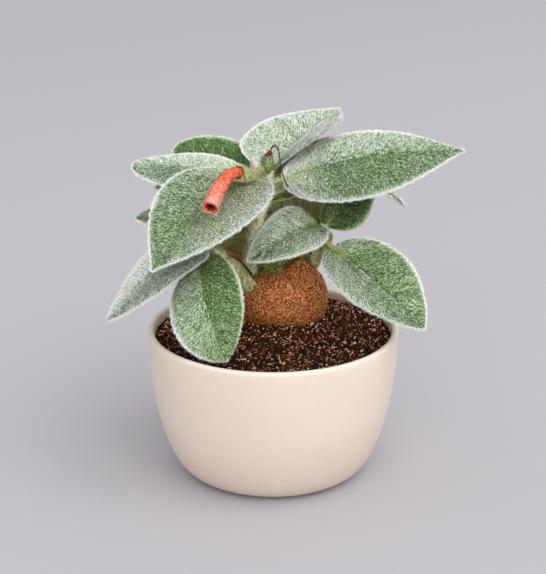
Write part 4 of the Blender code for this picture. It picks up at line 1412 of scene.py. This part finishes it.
def scaleLeaf(root, outward, length, rng):
    # a small pointed leaf that stands up round a shoot, as a closed stack of flat rings
    t = np.linspace(0, 1, shootLook["scaleStations"])
    lean = rng.uniform(0.25, 0.7)
    centre = root + outward * (1.2 + length * lean * t[:, None] ** 1.6)
    centre = centre + np.array((0, 0, 1.0)) * (length * (t[:, None] - 0.25 * lean * t[:, None] ** 2))
    sideways = unit(np.cross((0, 0, 1.0), outward))
    wide = shootLook["scaleWidth"] / 2 * np.sin(math.pi * np.clip(0.12 + 0.88 * t, 0, 1)) ** 0.7 + 0.12
    angles = turns(shootLook["scaleSides"])
    normal = unit(np.cross(np.gradient(centre, axis=0), sideways))
    cup = 0.35 * np.cos(angles) ** 2
    flat = 0.3 * np.sin(angles)
    return (centre[:, None] + (wide[:, None] * np.cos(angles))[..., None] * sideways
            + (wide[:, None] * cup + flat * np.minimum(wide, 1)[:, None])[..., None] * normal[:, None])


def buildShoots():
    skin = fleshFinish("shootSkin", shootLook["skin"], 1.2)
    for number, (name, (foot, bend, top, radius)) in enumerate(shoots.items()):
        rng = np.random.default_rng(shootLook["seed"] + number)
        shares = np.linspace(0, 1, shootLook["stations"])
        centre, _ = quadraticCurve(foot, bend, top, shares)
        size = radius * (0.55 + 0.25 * shares) * np.sqrt(np.maximum(1 - shares ** 3, 0.03))
        stacks = [ringsAlong(centre, size, shootLook["sides"])]
        for k in range(shootLook["scales"]):
            turn = k * shootLook["turn"] + number
            outward = np.array((math.cos(turn), math.sin(turn), 0))
            length = shootLook["scaleLength"] * rng.uniform(0.75, 1.15)
            stacks.append(scaleLeaf(centre[int(2 + 9 * k / shootLook["scales"])], outward, length, rng))
        points, faces, hairs = [], [], []
        for stack in stacks:
            start = sum(len(p) for p in points)
            points.append(stack.reshape(-1, 3))
            faces += [[start + i for i in face] for face in loftFaces(*stack.shape[:2])]
            woolly = name == shootLook["woolly"] and stack is stacks[0]
            tone = shootLook["woolTone"] if woolly else shootLook["tone"]
            hairs.append(tubeHairs(stack, rng, tone=tone, **shootLook["hairs"]))
        makePiece(name.replace("shoot", "sprout"), np.concatenate(points), faces, skin, [name])
        makeHairs(name.replace("shoot", "sprout_down"), hairs, yellowWool)
    print("shoots:", len(shoots))


def buildStalk():
    centre, run, rings = threadRings(stalk)
    rings = rings + stalk["knobs"] * ripple(rings, 1.6, 8)[..., None] * unit(rings - centre[:, None])
    finish, tree, shader = newFinish("dryRed", 0.75, 0.2)
    places = objectPlaces(tree)
    along, _ = mapPlace(tree)
    colour = addRamp(tree, along, stalk["skin"])
    paint(tree, shader, colour, noiseRamp(tree, places, 0.8, [(0.4, 0.45), (0.6, 1.0)]))
    addBump(tree, shader, addNoise(tree, places, 0.5), 0.15)
    piece = makeLoft("dry_stalk", rings, finish, ["withered_stalk"])
    layTones(piece, np.repeat(run, stalk["sides"]))
    print("dry stalk")


bpy.context.scene.view_settings.view_transform = "Standard"
buildCamera()
buildLights()
buildSky()
buildFloor()
silverVelvet = hairFinish("silverVelvet", hairTones)
yellowWool = hairFinish("yellowWool", woolTones)
buildPot()
buildSoil()
buildTuber()
buildStems()
buildLeaves()
buildFlower()
buildCrown()
buildShoots()
buildStalk()
